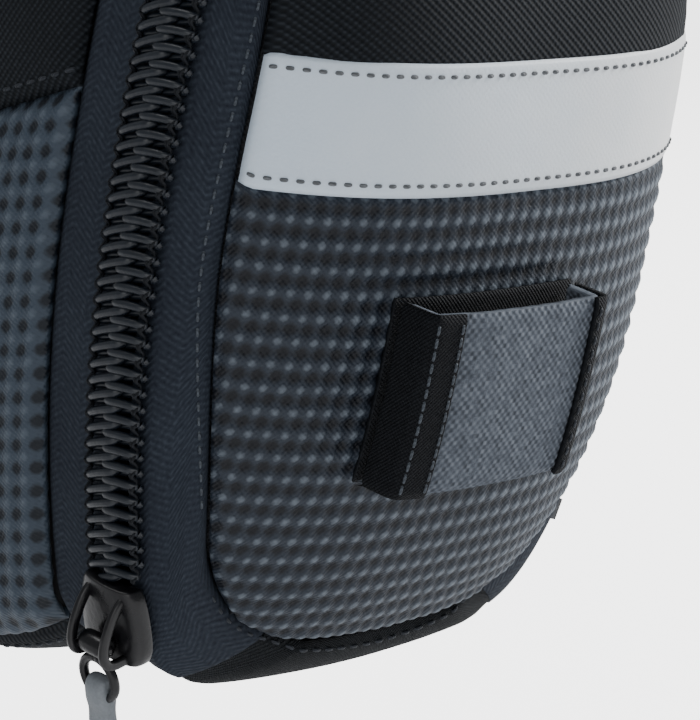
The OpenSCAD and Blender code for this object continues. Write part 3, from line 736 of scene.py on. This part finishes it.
def build_tapes():
    u = np.linspace(6 - TAPE_ROUND, TAPE_ROUND, 285)
    across = np.linspace(-TAPE_EDGE, -SLOT_HALF, 17)
    uu, nn = np.meshgrid(u, across)
    x, v = ring(RIM, uu, TAPE_DEPTH)
    p = at(x, v, nn)
    p = sewn(p, "b", roll=0.9, width=1.2, slack=0.0, pucker=0.1)
    piece(sheet("front_tape_cloth", p, TAPE_THICK, uv=tape_uv), "bag", TAPE, "tape", "tape_front")
    uu, tt = np.meshgrid(u, np.linspace(0, 1, 25))
    p = gusset(uu, uu, tt, TAPE_DEPTH)
    p = sewn(p, "t", roll=0.8, width=1.2, slack=0.0, pucker=0.1)
    obj = sheet("rear_tape_cloth", p, TAPE_THICK, uv=tape_uv)
    blended(obj, TAPE, "tape", "tape_rear", "tape_heel_left", "tape_heel_right")
    on_flap = slice(28, -28)  # the columns above the fold
    seam_stitches("rear_tape_stitch", p[:, on_flap], "t", 2.6, "flap", PALE_THREAD, pitch=2.0, length=1.5,
                  radius=0.2)
    u = np.linspace(7.25, 10.75, 94)
    t = np.linspace(0, 1, 20)
    # its ends go under the tapes
    rise = np.clip((np.minimum(u, 18 - u) - TAPE_ROUND) / 0.35, 0, 1)
    sunk = (TAPE_DEPTH + 0.25) * (1 - rise * rise * (3 - 2 * rise))
    rows = [at(*ring(RIM, u, sunk), n) for n in np.linspace(-TAPE_EDGE, SLOT_HALF, 14)[:-1]]
    rows += [gusset(u, u, np.full_like(u, k), sunk) for k in t]
    p = sewn(np.array(rows), "bt", roll=0.9, width=1.2, slack=0.1)
    piece(sheet("bottom_band_cloth", p), "bag", BAND, "upper_fabric", "bottom_band")
    seam_stitches("bottom_band_stitch", p, "t", 1.9)


def tape_uv(p):
    away = from_edges(p)
    middle = p.shape[0] // 2
    return away["b"], np.broadcast_to(away["l"][middle], away["l"].shape)


# ---- zip coil, placed by distance along the rim from the middle of the top
def rim_lengths():
    side, top = arcs(RIM[0], RIM[1] - RIM[3], RIM[4], SIDE_UP)
    low = arcs(RIM[0], RIM[2] + RIM[3], RIM[5], SIDE_LOW)[0]
    first = top * CROWN
    second = first + RIM[4] * (math.pi / 2 - CROWN - SIDE_UP)
    return side, top, low, first, second, second + side * SIDE_UP


R_UP, R_TOP, R_LOW, LEN_TOP, LEN_CORNER, LEN_SIDE = rim_lengths()


def down_to(v):
    return LEN_SIDE + math.asin((RIM[3] - v) / R_LOW) * R_LOW


def chain(l, n, d):
    """Point at distance l along the rim, n across the zip and d below the rim's outer face."""
    l, n, d = np.broadcast_arrays(np.asarray(l, float), n, d)
    g = np.abs(l)
    psi = np.where(g < LEN_TOP, math.pi / 2 - g / R_TOP, np.where(
        g < LEN_CORNER, math.pi / 2 - CROWN - (g - LEN_TOP) / RIM[4], np.where(
            g < LEN_SIDE, SIDE_UP - (g - LEN_CORNER) / R_UP, -(g - LEN_SIDE) / R_LOW)))
    up = psi >= 0
    xu, yu = quarter(RIM[0], RIM[1] - RIM[3], RIM[4], SIDE_UP, np.abs(psi))
    xl, yl = quarter(RIM[0], RIM[2] + RIM[3], RIM[5], SIDE_LOW, np.abs(psi))
    x = np.where(up, xu, xl) - d * np.cos(psi)
    v = RIM[3] + np.where(up, yu, -yl) - d * np.sin(psi)
    return at(np.sign(l + 1e-9) * x, v, n)


# one turn of the filament: along the chain, across it, depth, radius
TURN = [(0.0, 4.45, -0.25, 0.50), (0.0, 3.70, -0.80, 0.56), (0.0, 2.50, -1.08, 0.58),
        (0.0, 1.20, -1.16, 0.60), (0.0, 0.20, -1.10, 0.66), (0.0, -0.55, -0.90, 0.70),
        (0.05, -0.92, -0.40, 0.56), (0.30, -0.62, 0.0, 0.50), (0.70, 0.60, 0.10, 0.50),
        (1.10, 2.40, 0.10, 0.50), (1.50, 3.90, 0.08, 0.50), (1.90, 4.56, 0.0, 0.50),
        (COIL_PITCH, 4.45, -0.25, 0.50)]
TURN_REACH = 4.6
TURN_DROOP = 0.6


def build_coil(name, start, stop, phase, sign, body_name, node, slant):
    """One half of the zip; slant sets how far its outer bends lie back along the chain."""
    loop = smooth_path(TURN, 30)
    reach = loop[:, 1] / TURN_REACH
    loop[:, 0] -= slant * reach + TURN_DROOP * reach ** 3
    k = np.arange(math.ceil(start / COIL_PITCH - phase), math.floor(stop / COIL_PITCH - phase) + 1)
    l = (k[:, None] + phase) * COIL_PITCH
    p = chain(l + loop[None, :, 0], sign * 1.06 * loop[None, :, 1] + 0 * l, loop[None, :, 2] + 0 * l)
    along = unit(np.gradient(chain(k * COIL_PITCH, 0.0, 0.0), axis=0))
    obj = tubes(name, p, loop[:, 3], 8, up=along[:, None])
    piece(obj, body_name, COIL, "coil", node)
    l = np.arange(start, stop, COIL_PITCH / 8)
    turn = math.tau * (l / COIL_PITCH - phase)
    threads = [chain(l, sign * (m + 0.12 * np.sin(turn)), -0.75 - 0.42 * np.cos(turn)) for m in (4.1, 4.5)]
    piece(tubes(name + "_sewing", np.array(threads), 0.2, 6), body_name, SEWING, "coil")


# ---- flap
def build_flap():
    a, c = grid(110, 46)
    q = top_patch(STRIPE_HIGH, a, c)
    p = sewn(on_dome(q[..., 0], q[..., 1]), "lrt", roll=1.2, width=1.1, slack=0.15)
    flap_uv = lambda r: (r[..., 0], r[..., 2] / math.cos(math.radians(REAR_LEAN)))
    piece(sheet("rear_upper_cloth", p, uv=flap_uv), "flap", UPPER, "upper_fabric", "rear_panel_upper")

    a, c = grid(230, 210)
    q = low_patch(STRIPE_LOW, a, c)
    p = sewn(on_dome(q[..., 0], q[..., 1]), roll=1.2, width=1.1, slack=0.15)
    away = from_edges(p)
    middle = away["l"].shape[1] // 2
    uv = (away["l"] - away["l"][:, middle:middle + 1], STRIPE_LOW - away["t"])
    p = p + normals(p) * (0.26 * lattice(*uv, REAR_DOTS) * inside(p))[..., None]
    obj = sheet("rear_lower_cloth", p, uv=lambda r: uv, back=False)
    blended(obj, LOWER, "lower_fabric", "rear_panel_lower", "rear_panel_heel")

    a, c = grid(120, 26)
    v = lerp(STRIPE_LOW - 0.6, STRIPE_HIGH + 0.6, c)
    x = np.array([ring(SEAM, np.float64(arc_at(SEAM, r)))[0] for r in v[:, 0]])[:, None]
    p = on_dome((2 * a - 1) * x, v, 0.35)
    p = sewn(p, "bt", roll=0.3, width=0.5, slack=0.12, pucker=0.06)
    p = sewn(p, "lr", roll=1.2, width=0.9, slack=0.0, pucker=0.0)
    piece(sheet("stripe_cloth", p, uv=lambda r: ((2 * a - 1) * x, v)), "flap", REFLECTIVE, "reflective",
          "reflective_stripe")
    for edge in "bt":
        seam_stitches("stripe_stitch_" + edge, p, edge, 1.7, "flap", GREY_THREAD, pitch=2.1, length=1.2,
                      radius=0.27)


def loop_end(reach, base, grow=0.0):
    """(x, lift) of the left end of the loop's face, from its toe round the wall to reach on the front."""
    a, h = LOOP_HALF + grow, LOOP_HEIGHT + grow
    return [(0.5 - a, base), (0.12 - a, base + 0.3), (-a, base + 1.2), (-a, h - 2.2), (0.1 - a, h - 1.1),
            (0.5 - a, h - 0.35), (1.3 - a, h), (reach - a, h + 0.05)]


def turned_round(p):
    return [(-x, h) for x, h in reversed(p)]


def loop_piece(name, profile, height, thick, material, slot, node, count, rows, **sewing):
    """A strip across the flap that follows a profile of (x, lift) about the loop's centre."""
    path = smooth_path(profile, count)
    x = np.broadcast_to(LOOP_CENTRE + path[:, 0], (rows, count))
    v = np.broadcast_to(LOOP_LEVEL + np.linspace(-height / 2, height / 2, rows)[:, None], (rows, count))
    uv = (np.broadcast_to(travelled(path), x.shape), v)
    p = sewn(on_dome(x, v, path[:, 1][None]), "bt", **sewing)
    piece(sheet(name, p, thick, uv=lambda r: uv), "flap", material, slot, node)
    return p


def build_light_loop():
    left = loop_end(4.0, 1.2)
    middle = [(x * LOOP_HALF, LOOP_HEIGHT + 0.25) for x in (-0.5, 0.0, 0.5)]
    loop_piece("light_loop_webbing", left + middle + turned_round(left), LOOP_WEBBING, 1.4, GREY_WEBBING,
               "grey_webbing", "light_loop", 190, 70, roll=0.3, width=0.7, slack=0.12, pucker=0.06)
    bound, thin = LOOP_WEBBING + 0.6, 0.7
    # a flat black backing under the loop; its black also stands in as painted shade for the dark gap behind
    # the loop's edges
    flat = [(x * (LOOP_HALF + 0.8), 0.85) for x in np.linspace(-1, 1, 9)]
    loop_piece("light_loop_backing_and_shade", flat, bound, thin, BINDING, "webbing", "light_loop_base", 60, 40,
               roll=0.2, width=0.6, slack=0.0, pucker=0.0)
    tight = dict(roll=0.3, width=0.6, slack=0.0, pucker=0.04)
    p = loop_piece("light_loop_binding_cloth", loop_end(5.0, 1.6, 0.8), bound, thin, BINDING, "webbing",
                   "light_loop_binding", 70, 60, **tight)
    seam_stitches("light_loop_stitch_left", p, "r", 0.5, "flap", PALE_THREAD, pitch=1.7, length=1.62,
                  radius=0.22)
    seam_stitches("light_loop_crest", p, "r", 4.3, "flap", PALE_THREAD, pitch=1.7, length=1.64, radius=0.22)
    p = loop_piece("light_loop_edging_cloth", turned_round(loop_end(2.8, 1.6, 0.8)), bound, thin, BINDING,
                   "webbing", "light_loop_edging", 50, 60, **tight)
    seam_stitches("light_loop_stitch_right", p, "l", 0.7, "flap", BLACK_THREAD, pitch=2.0, length=1.5,
                  radius=0.22)


# ---- straps
def outward(path):
    """Unit normals of a path of (a, b) points, to the right of its direction."""
    along = unit(np.gradient(path, axis=0))
    return np.stack([along[:, 1], -along[:, 0]], -1)


def strap(name, path, width, to_world, thick=1.6, rows=24):
    """Webbing swept along a path of (a, b) points, width wide along the frame's third axis."""
    path = np.asarray(path, float)
    a, b, gone, w = (np.broadcast_to(q, (rows, len(path))) for q in (
        path[:, 0], path[:, 1], travelled(path), np.linspace(-width / 2, width / 2, rows)[:, None]))
    p = sewn(to_world(a, b, w), "bt", roll=0.3, width=0.7, slack=0.06, pucker=0.04)
    return sheet(name, p, thick, uv=lambda r: (gone, w)), p


def arc_points(cx, cy, r, a0, a1, count):
    t = np.radians(np.linspace(a0, a1, count))
    return np.stack([cx + r * np.cos(t), cy + r * np.sin(t)], -1)


def line_points(points):
    out = []
    for p, q in zip(points[:-1], points[1:]):
        count = max(2, int(np.hypot(q[0] - p[0], q[1] - p[1]) / 0.8))
        steps = np.linspace(0, 1, count, endpoint=False)
        out += [(lerp(p[0], q[0], t), lerp(p[1], q[1], t)) for t in steps]
    return out + [points[-1]]


def softened(path, passes=6):
    p = np.asarray(path, float)
    for _ in range(passes):
        p[1:-1] = (p[:-2] + 2 * p[1:-1] + p[2:]) / 4
    return p


def build_rail_straps():
    mid = body(3, 0.4)
    low, high = body(3, 0.55), body(3, 0.25)
    tilt = math.atan2(low[2] - high[2], high[1] - low[1])
    up = np.array([0, math.sin(tilt), math.cos(tilt)])
    along = np.array([0, math.cos(tilt), -math.sin(tilt)])
    f = section(0.4)
    crown_r = arcs(f[0], f[1] - f[3], f[4], SIDE_UP)[1]
    drop = lambda x: np.sqrt(crown_r ** 2 - x ** 2) - crown_r
    ro = RAIL_RADIUS + 0.05 + 1.6
    for name, sign in (("right", 1), ("left", -1)):
        def to_world(a, b, w):
            return mid + sign * a[..., None] * RIGHT + b[..., None] * up - sign * w[..., None] * along
        g = RAIL_HALF_GAP
        foot = [(g - 14, drop(g - 14) + 2.3), (g - 4, drop(g - 4) + 2.3), (g - 1.75, drop(g) + 4.0),
                (g - 1.75, 6.3)]
        path = list(line_points(foot)) + arc_points(g, RAIL_HEIGHT, ro, 250, -70, 60).tolist()
        path += line_points([(g + 1.75, 6.3), (g + 1.75, drop(g) + 1.2)])
        obj, _ = strap("rail_strap_webbing_" + name, softened(path), RAIL_WEBBING, to_world)
        piece(obj, "bag", BLACK_WEBBING, "webbing", "rail_strap_" + name)
        for k, w in enumerate((-8.2, 8.2)):
            edge = np.array([to_world(np.float64(a), np.float64(drop(a) + 2.35), np.float64(w))
                             for a in np.linspace(g - 13, g - 4.5, 12)])
            over = np.broadcast_to(up, edge.shape)
            row = stitches(f"rail_strap_stitch_{name}_{k}", edge, over, 2.2, 1.5)
            piece(row, "bag", GREY_THREAD, "webbing")


def build_post_strap():
    ri = POST_RADIUS + 0.05
    ro = ri + 1.8
    foot = FRONT_GAP - SKIN - HAIR - 0.1

    def to_world(a, b, w):
        return a[..., None] * RIGHT - b[..., None] * POST_BACK + w[..., None] * POST_UP
    half = [(ri + 9.5, 1.7 - foot), (ri + 3, 1.7 - foot), (ro, 3.2 - foot), (ro + 0.1, -6)]
    path = line_points(half) + arc_points(0, 0, ro, 0, 180, 90).tolist()
    path += line_points([(-a, b) for a, b in reversed(half)])
    obj, _ = strap("post_strap_webbing", softened(path, 4)[::-1], LOOP_WEBBING, to_world, 1.7, 30)
    piece(obj, "bag", BLACK_WEBBING, "webbing", "seatpost_strap")
    tail = arc_points(0, 0, ro + 1.7, 22, 168, 70)
    obj, p = strap("post_strap_tail_webbing", tail[::-1], LOOP_WEBBING - 0.6, to_world, 1.5, 30)
    piece(obj, "bag", BLACK_WEBBING, "webbing", "seatpost_strap_tail")
    seam_stitches("post_strap_tail_stitch", p, "l", 2.0, pitch=2.2, length=1.5)
    seam_stitches("post_strap_tail_stitch_2", p, "r", 2.0, pitch=2.2, length=1.5)


# ---- inside
def build_inside():
    a, b = grid(140, 60)
    p = body(lerp(9.02, 20.98, a), lerp(0.02, 0.985, b), SKIN + 2.9)
    p = p + normals(p) * (0.5 * waves(p, 40.0) - 0.3)[..., None]
    obj = sheet("lining_cloth", p[:, ::-1], 0.5)
    piece(obj, "bag", LINING, "lining", "body_lining")
    a, c = grid(40, 50)
    q = coons(curve(FRONT, 7.5, 10.5, 0.84), curve(FRONT, 4.5, 1.5, 0.84), curve(FRONT, 7.5, 4.5, 0.84),
              curve(FRONT, -1.5, 1.5, 0.84), a, c)
    p = FRONT_O + q[..., :1] * RIGHT + q[..., 1:] * POST_UP + POST_BACK * 3.5
    piece(sheet("front_lining_cloth", p, 0.6), "bag", LINING, "lining")
    a, c = grid(80, 60)
    q = top_patch(-36.0, a, c, 0.985)
    p = on_dome(q[..., 0], q[..., 1], -SKIN - 2.4)[:, ::-1]
    p = sewn(p, "lrt", roll=-0.9, width=2.5, slack=0.3)
    piece(sheet("flap_lining_cloth", p, 0.5), "flap", LINING, "lining", "flap_lining", "flap_board")
    a, b = grid(60, 50)
    p = body(lerp(7.3, 5.25, a), lerp(0.4, 0.9, b), SKIN + 5.4)
    p = p + normals(p) * (0.8 * waves(p, 34.0))[..., None]
    piece(sheet("pocket_cloth", p, 0.5), "bag", BINDING, "lining", "inner_pocket")


def dress(node, material, bevel=0.0):
    """Gives a solid of the frame its material and, if asked, rounded edges."""
    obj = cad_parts[node]
    obj.data.materials.clear()
    obj.data.materials.append(material)
    if bevel:
        mod = obj.modifiers.new("Rounded edges", "BEVEL")
        mod.width = bevel * MM
        mod.segments = 3
        mod.limit_method = "ANGLE"
        mod.angle_limit = math.radians(40)
        mod.harden_normals = False


# ---- slider, ring and tab, drawn with x outward, y up along the chain and z across it
SLIDER_V = HINGE_V - 0.7 - SLIDER_LENGTH / 2
SLIDER_TURN = math.asin((RIM[3] - SLIDER_V) / R_LOW)
LUG_X, LUG_Y, RING_LENGTH, TAB_LENGTH = 4.4, -2.5, 7.9, 30.0


def slider_at(p):
    p = np.asarray(p, float)
    x, y = -p[..., 0] - R_LOW, p[..., 1]
    c, s = math.cos(SLIDER_TURN), math.sin(SLIDER_TURN)
    return at(R_LOW - RIM[0] + x * c - y * s, RIM[3] + x * s + y * c, p[..., 2])


def loft(name, rings, smooth=2):
    """Closed skin over a row of rings (rings, points, 3), rounded by subdivision."""
    rings = np.asarray(rings, float)
    k, m = rings.shape[:2]
    i, j = np.meshgrid(np.arange(m), np.arange(k - 1))
    a, b = (j * m + i).ravel(), (j * m + (i + 1) % m).ravel()
    faces = np.stack([a, b, b + m, a + m], -1).tolist()
    faces += [list(range(m - 1, -1, -1)), list(range((k - 1) * m, k * m))]
    obj = mesh_object(name, rings.reshape(-1, 3), faces)
    if smooth:
        obj.modifiers.new("Rounded", "SUBSURF").levels = smooth
        obj.modifiers["Rounded"].render_levels = smooth
    return obj


def oval(a, b, power=3.0, count=24):
    """Rounded rectangle, a and b its half sizes."""
    t = np.arange(count) * math.tau / count
    c, s = np.cos(t), np.sin(t)
    return np.stack([a * np.sign(c) * np.abs(c) ** (2 / power),
                     b * np.sign(s) * np.abs(s) ** (2 / power)], -1)


def mirrored(half):
    return [(-z, x) for z, x in reversed(half)]


def build_slider():
    h = SLIDER_LENGTH / 2
    spine = np.array([(-h, 4.3), (-h + 0.15, 4.9), (-h + 1.2, 5.6), (-h + 3, 6.1), (0, 6.0), (h - 3, 5.7),
                      (h - 1.2, 5.2), (h - 0.15, 4.6), (h, 4.1)])
    # half of the shell's section, over its top and back under it; the other half mirrors it
    over = [(-1, -0.3), (-1.0, 1.0), (-0.95, 1.8), (-0.75, 2.35), (-0.35, 2.65)]
    under = [(-0.62, 2.12), (-0.88, 1.85), (-0.945, 1.0), (-0.95, -0.3)]
    lip = over + [(0, 2.72)] + mirrored(over) + mirrored(under) + [(0, 2.18)] + under
    rings = [[(x if k not in (0, len(spine) - 1) else x * 0.9 + 0.12, y, z * w) for z, x in lip]
             for k, (y, w) in enumerate(spine)]
    piece(loft("slider_shell", slider_at(rings)), "slider", SLIDER_PAINT, "slider_black", "slider")
    sole = [[(-2.9 + x, y * 0.88, z) for x, z in oval(0.5, w * 0.68)] for y, w in spine]
    piece(loft("slider_sole", slider_at(sole), 1), "slider", SLIDER_PAINT, "slider_black")
    post = [[(x, y, z) for z, y in oval(1.2, 1.1) + [0, -h + 2.1]] for x in (-2.7, -1.5, 0, 1.9)]
    piece(loft("slider_post", slider_at(post), 1), "slider", SLIDER_PAINT, "slider_black")
    arch = smooth_path([(1.9, 4.1), (3.0, 3.4), (4.3, 1.7), (5.45, -0.5), (5.9, -2.4), (5.5, -3.9),
                        (4.2, -4.6), (1.9, -4.7)], 26)
    for name, z0 in (("left", -3.1), ("right", 3.1)):
        rings = [[(x + o[0] * b, y + o[1] * b, z0 + a) for a, b in oval(0.55, 0.75, 3, 12)]
                 for (x, y), o in zip(arch, outward(arch))]
        piece(loft("slider_lug_" + name, slider_at(rings), 1), "slider", SLIDER_PAINT, "slider_black")
    bar = [[(LUG_X + a, LUG_Y + b, z) for a, b in oval(0.85, 0.85, 2, 16)] for z in (-3.1, -1, 1, 3.1)]
    piece(loft("slider_bar", slider_at(bar), 1), "slider", SLIDER_PAINT, "slider_black")


def build_pull():
    major, minor = 3.05, 0.68
    wire = [[(LUG_X + minor * math.sin(q), LUG_Y - 5.3 + (major + minor * math.cos(q)) * math.cos(a),
              (major + minor * math.cos(q)) * math.sin(a)) for q in np.linspace(0, math.tau, 17)[:-1]]
            for a in np.linspace(0, math.tau, 49)]
    ring = loft("pull_ring_wire", slider_at(wire), 0)
    piece(ring, "pull_ring", SLIDER_PAINT, "slider_black", "pull_ring")
    sleeve = [[(LUG_X + a, LUG_Y - 0.1 + b, z) for a, b in oval(k, k, 2, 20)]
              for z, k in ((-2.35, 1.2), (-2.2, 1.5), (-1.2, 1.62), (1.2, 1.62), (2.2, 1.5), (2.35, 1.2))]
    piece(loft("pull_ring_sleeve", slider_at(sleeve), 1), "pull_ring", SLIDER_PAINT, "slider_black")
    tip = 3 - TAB_LENGTH
    y = np.concatenate([np.linspace(1.9, 0.6, 6), np.linspace(0.2, tip, 60), tip - np.array([1, 1.8, 2.3])])
    rings = []
    for q in y:
        head = math.sqrt(max(0.02, 1 - max(0.0, q / 2.0) ** 2))
        tail = math.sqrt(max(0.03, 1 - (max(0.0, tip - q) / 2.4) ** 2))
        wide = (1.9 + 0.5 / (1 + math.exp(q + 4.5))) * tail
        rib = 0.26 * max(0.0, math.sin(q * math.tau / 2.4)) if tip + 1 < q < -7 else 0.0
        thick = (1.75 - 0.6 / (1 + math.exp(2 * (q + 2.4))) + rib) * head * (0.55 + 0.45 * tail)
        rings.append([(LUG_X + a, LUG_Y - RING_LENGTH + 0.9 + q, b)
                      for a, b in oval(thick, wide * (0.7 + 0.3 * head), 3.2, 28)])
    piece(loft("pull_tab_moulding", slider_at(rings), 1), "pull_tab", TAB_RUBBER, "tab_grey", "pull_tab")


def dress_frame():
    dress("key_hook", HOOK_PLASTIC, 0.4)
    dress("key_gate", HOOK_PLASTIC, 0.25)
    dress("key_strap", BLACK_THREAD, 0.2)
    dress("front_pad", PAD_RUBBER, 0.5)
    dress("body_foam", FOAM)
    dress("top_board", HOOK_PLASTIC)
    dress("end_stop", COIL, 0.4)


# ---- stage, in metres
FLOOR_GAP = 0.030
FLOOR_HALF = 4.0
FLOOR_GLOW = 3.0  # seen by the camera only, so that the floor stays pale without lighting the bag
SKY = 0.30


def build_stage():
    low = CAD_BOX[0][2] - FLOOR_GAP
    size = FLOOR_HALF
    mesh = bpy.data.meshes.new("floor")
    corners = [(-size, -size, low), (size, -size, low), (size, size, low), (-size, size, low)]
    mesh.from_pydata(corners, [], [(0, 1, 2, 3)])
    paper = bpy.data.materials.new("paper")
    paper.use_nodes = True
    shade = paper.node_tree.nodes["Principled BSDF"]
    shade.inputs["Base Color"].default_value = (0.92, 0.92, 0.93, 1)
    shade.inputs["Roughness"].default_value = 0.9
    shade.inputs["Emission Color"].default_value = (1, 1, 1, 1)
    seen = paper.node_tree.nodes.new("ShaderNodeLightPath")
    glow = paper.node_tree.nodes.new("ShaderNodeMath")
    glow.operation = "MULTIPLY"
    glow.inputs[1].default_value = FLOOR_GLOW
    paper.node_tree.links.new(seen.outputs["Is Camera Ray"], glow.inputs[0])
    paper.node_tree.links.new(glow.outputs[0], shade.inputs["Emission Strength"])
    mesh.materials.append(paper)
    added("floor", mesh)
    world = bpy.data.worlds.new("studio")
    world.use_nodes = True
    world.node_tree.nodes["Background"].inputs[0].default_value = (0.93, 0.96, 1.0, 1)
    world.node_tree.nodes["Background"].inputs[1].default_value = SKY
    bpy.context.scene.world = world


def soft_light(name, place, size, power, target):
    data = bpy.data.lights.new(name, "AREA")
    data.shape = "DISK"
    data.size = size
    data.energy = power
    obj = added(name, data)
    obj.location = place
    obj.rotation_euler = (Vector(target) - obj.location).to_track_quat("-Z", "Y").to_euler()


SENSOR = 36.0


def look_from(azimuth, distance, height, across, up, focal):
    """Camera behind the bag; across and up are the slopes of its aim, focal is in picture heights."""
    a = math.radians(azimuth)
    back = Vector((-math.sin(a), -math.cos(a), 0))
    right = Vector((math.cos(a), -math.sin(a), 0))
    data = bpy.data.cameras.new("camera")
    data.sensor_fit = "AUTO"
    camera = added("camera", data)
    camera.location = Vector(REAR_O * MM) + back * distance * MM + Vector((0, 0, height * MM))
    aim = -back + right * across + Vector((0, 0, up))
    camera.rotation_euler = aim.to_track_quat("-Z", "Y").to_euler()
    data.sensor_width = SENSOR
    data.lens = SENSOR * focal * aim.length
    data.clip_start = 0.01
    bpy.context.scene.camera = camera


build_sides()
build_top_and_bottom()
build_front()
build_tapes()
build_coil("front_coil", -down_to(-45.0), down_to(HINGE_V), 0.0, -1, "bag", "coil_front", 2.0)
fold = down_to(HINGE_V + 0.3)
build_coil("rear_coil", -fold, fold, 0.5, 1, "flap", "coil_rear", -1.0)
build_flap()
build_light_loop()
build_rail_straps()
build_post_strap()
build_inside()
build_slider()
build_pull()
dress_frame()
build_stage()
centre = (REAR_O * MM).tolist()
soft_light("key", (1.30, -0.60, 0.85), 0.6, 38, centre)
soft_light("fill", (-1.3, -0.8, 0.5), 1.2, 6, centre)
soft_light("top", (-0.2, 0.3, 1.5), 0.9, 8, centre)
look_from(azimuth=47.3, distance=449.0, height=52.7, across=-0.0107, up=-0.1487, focal=4.585)
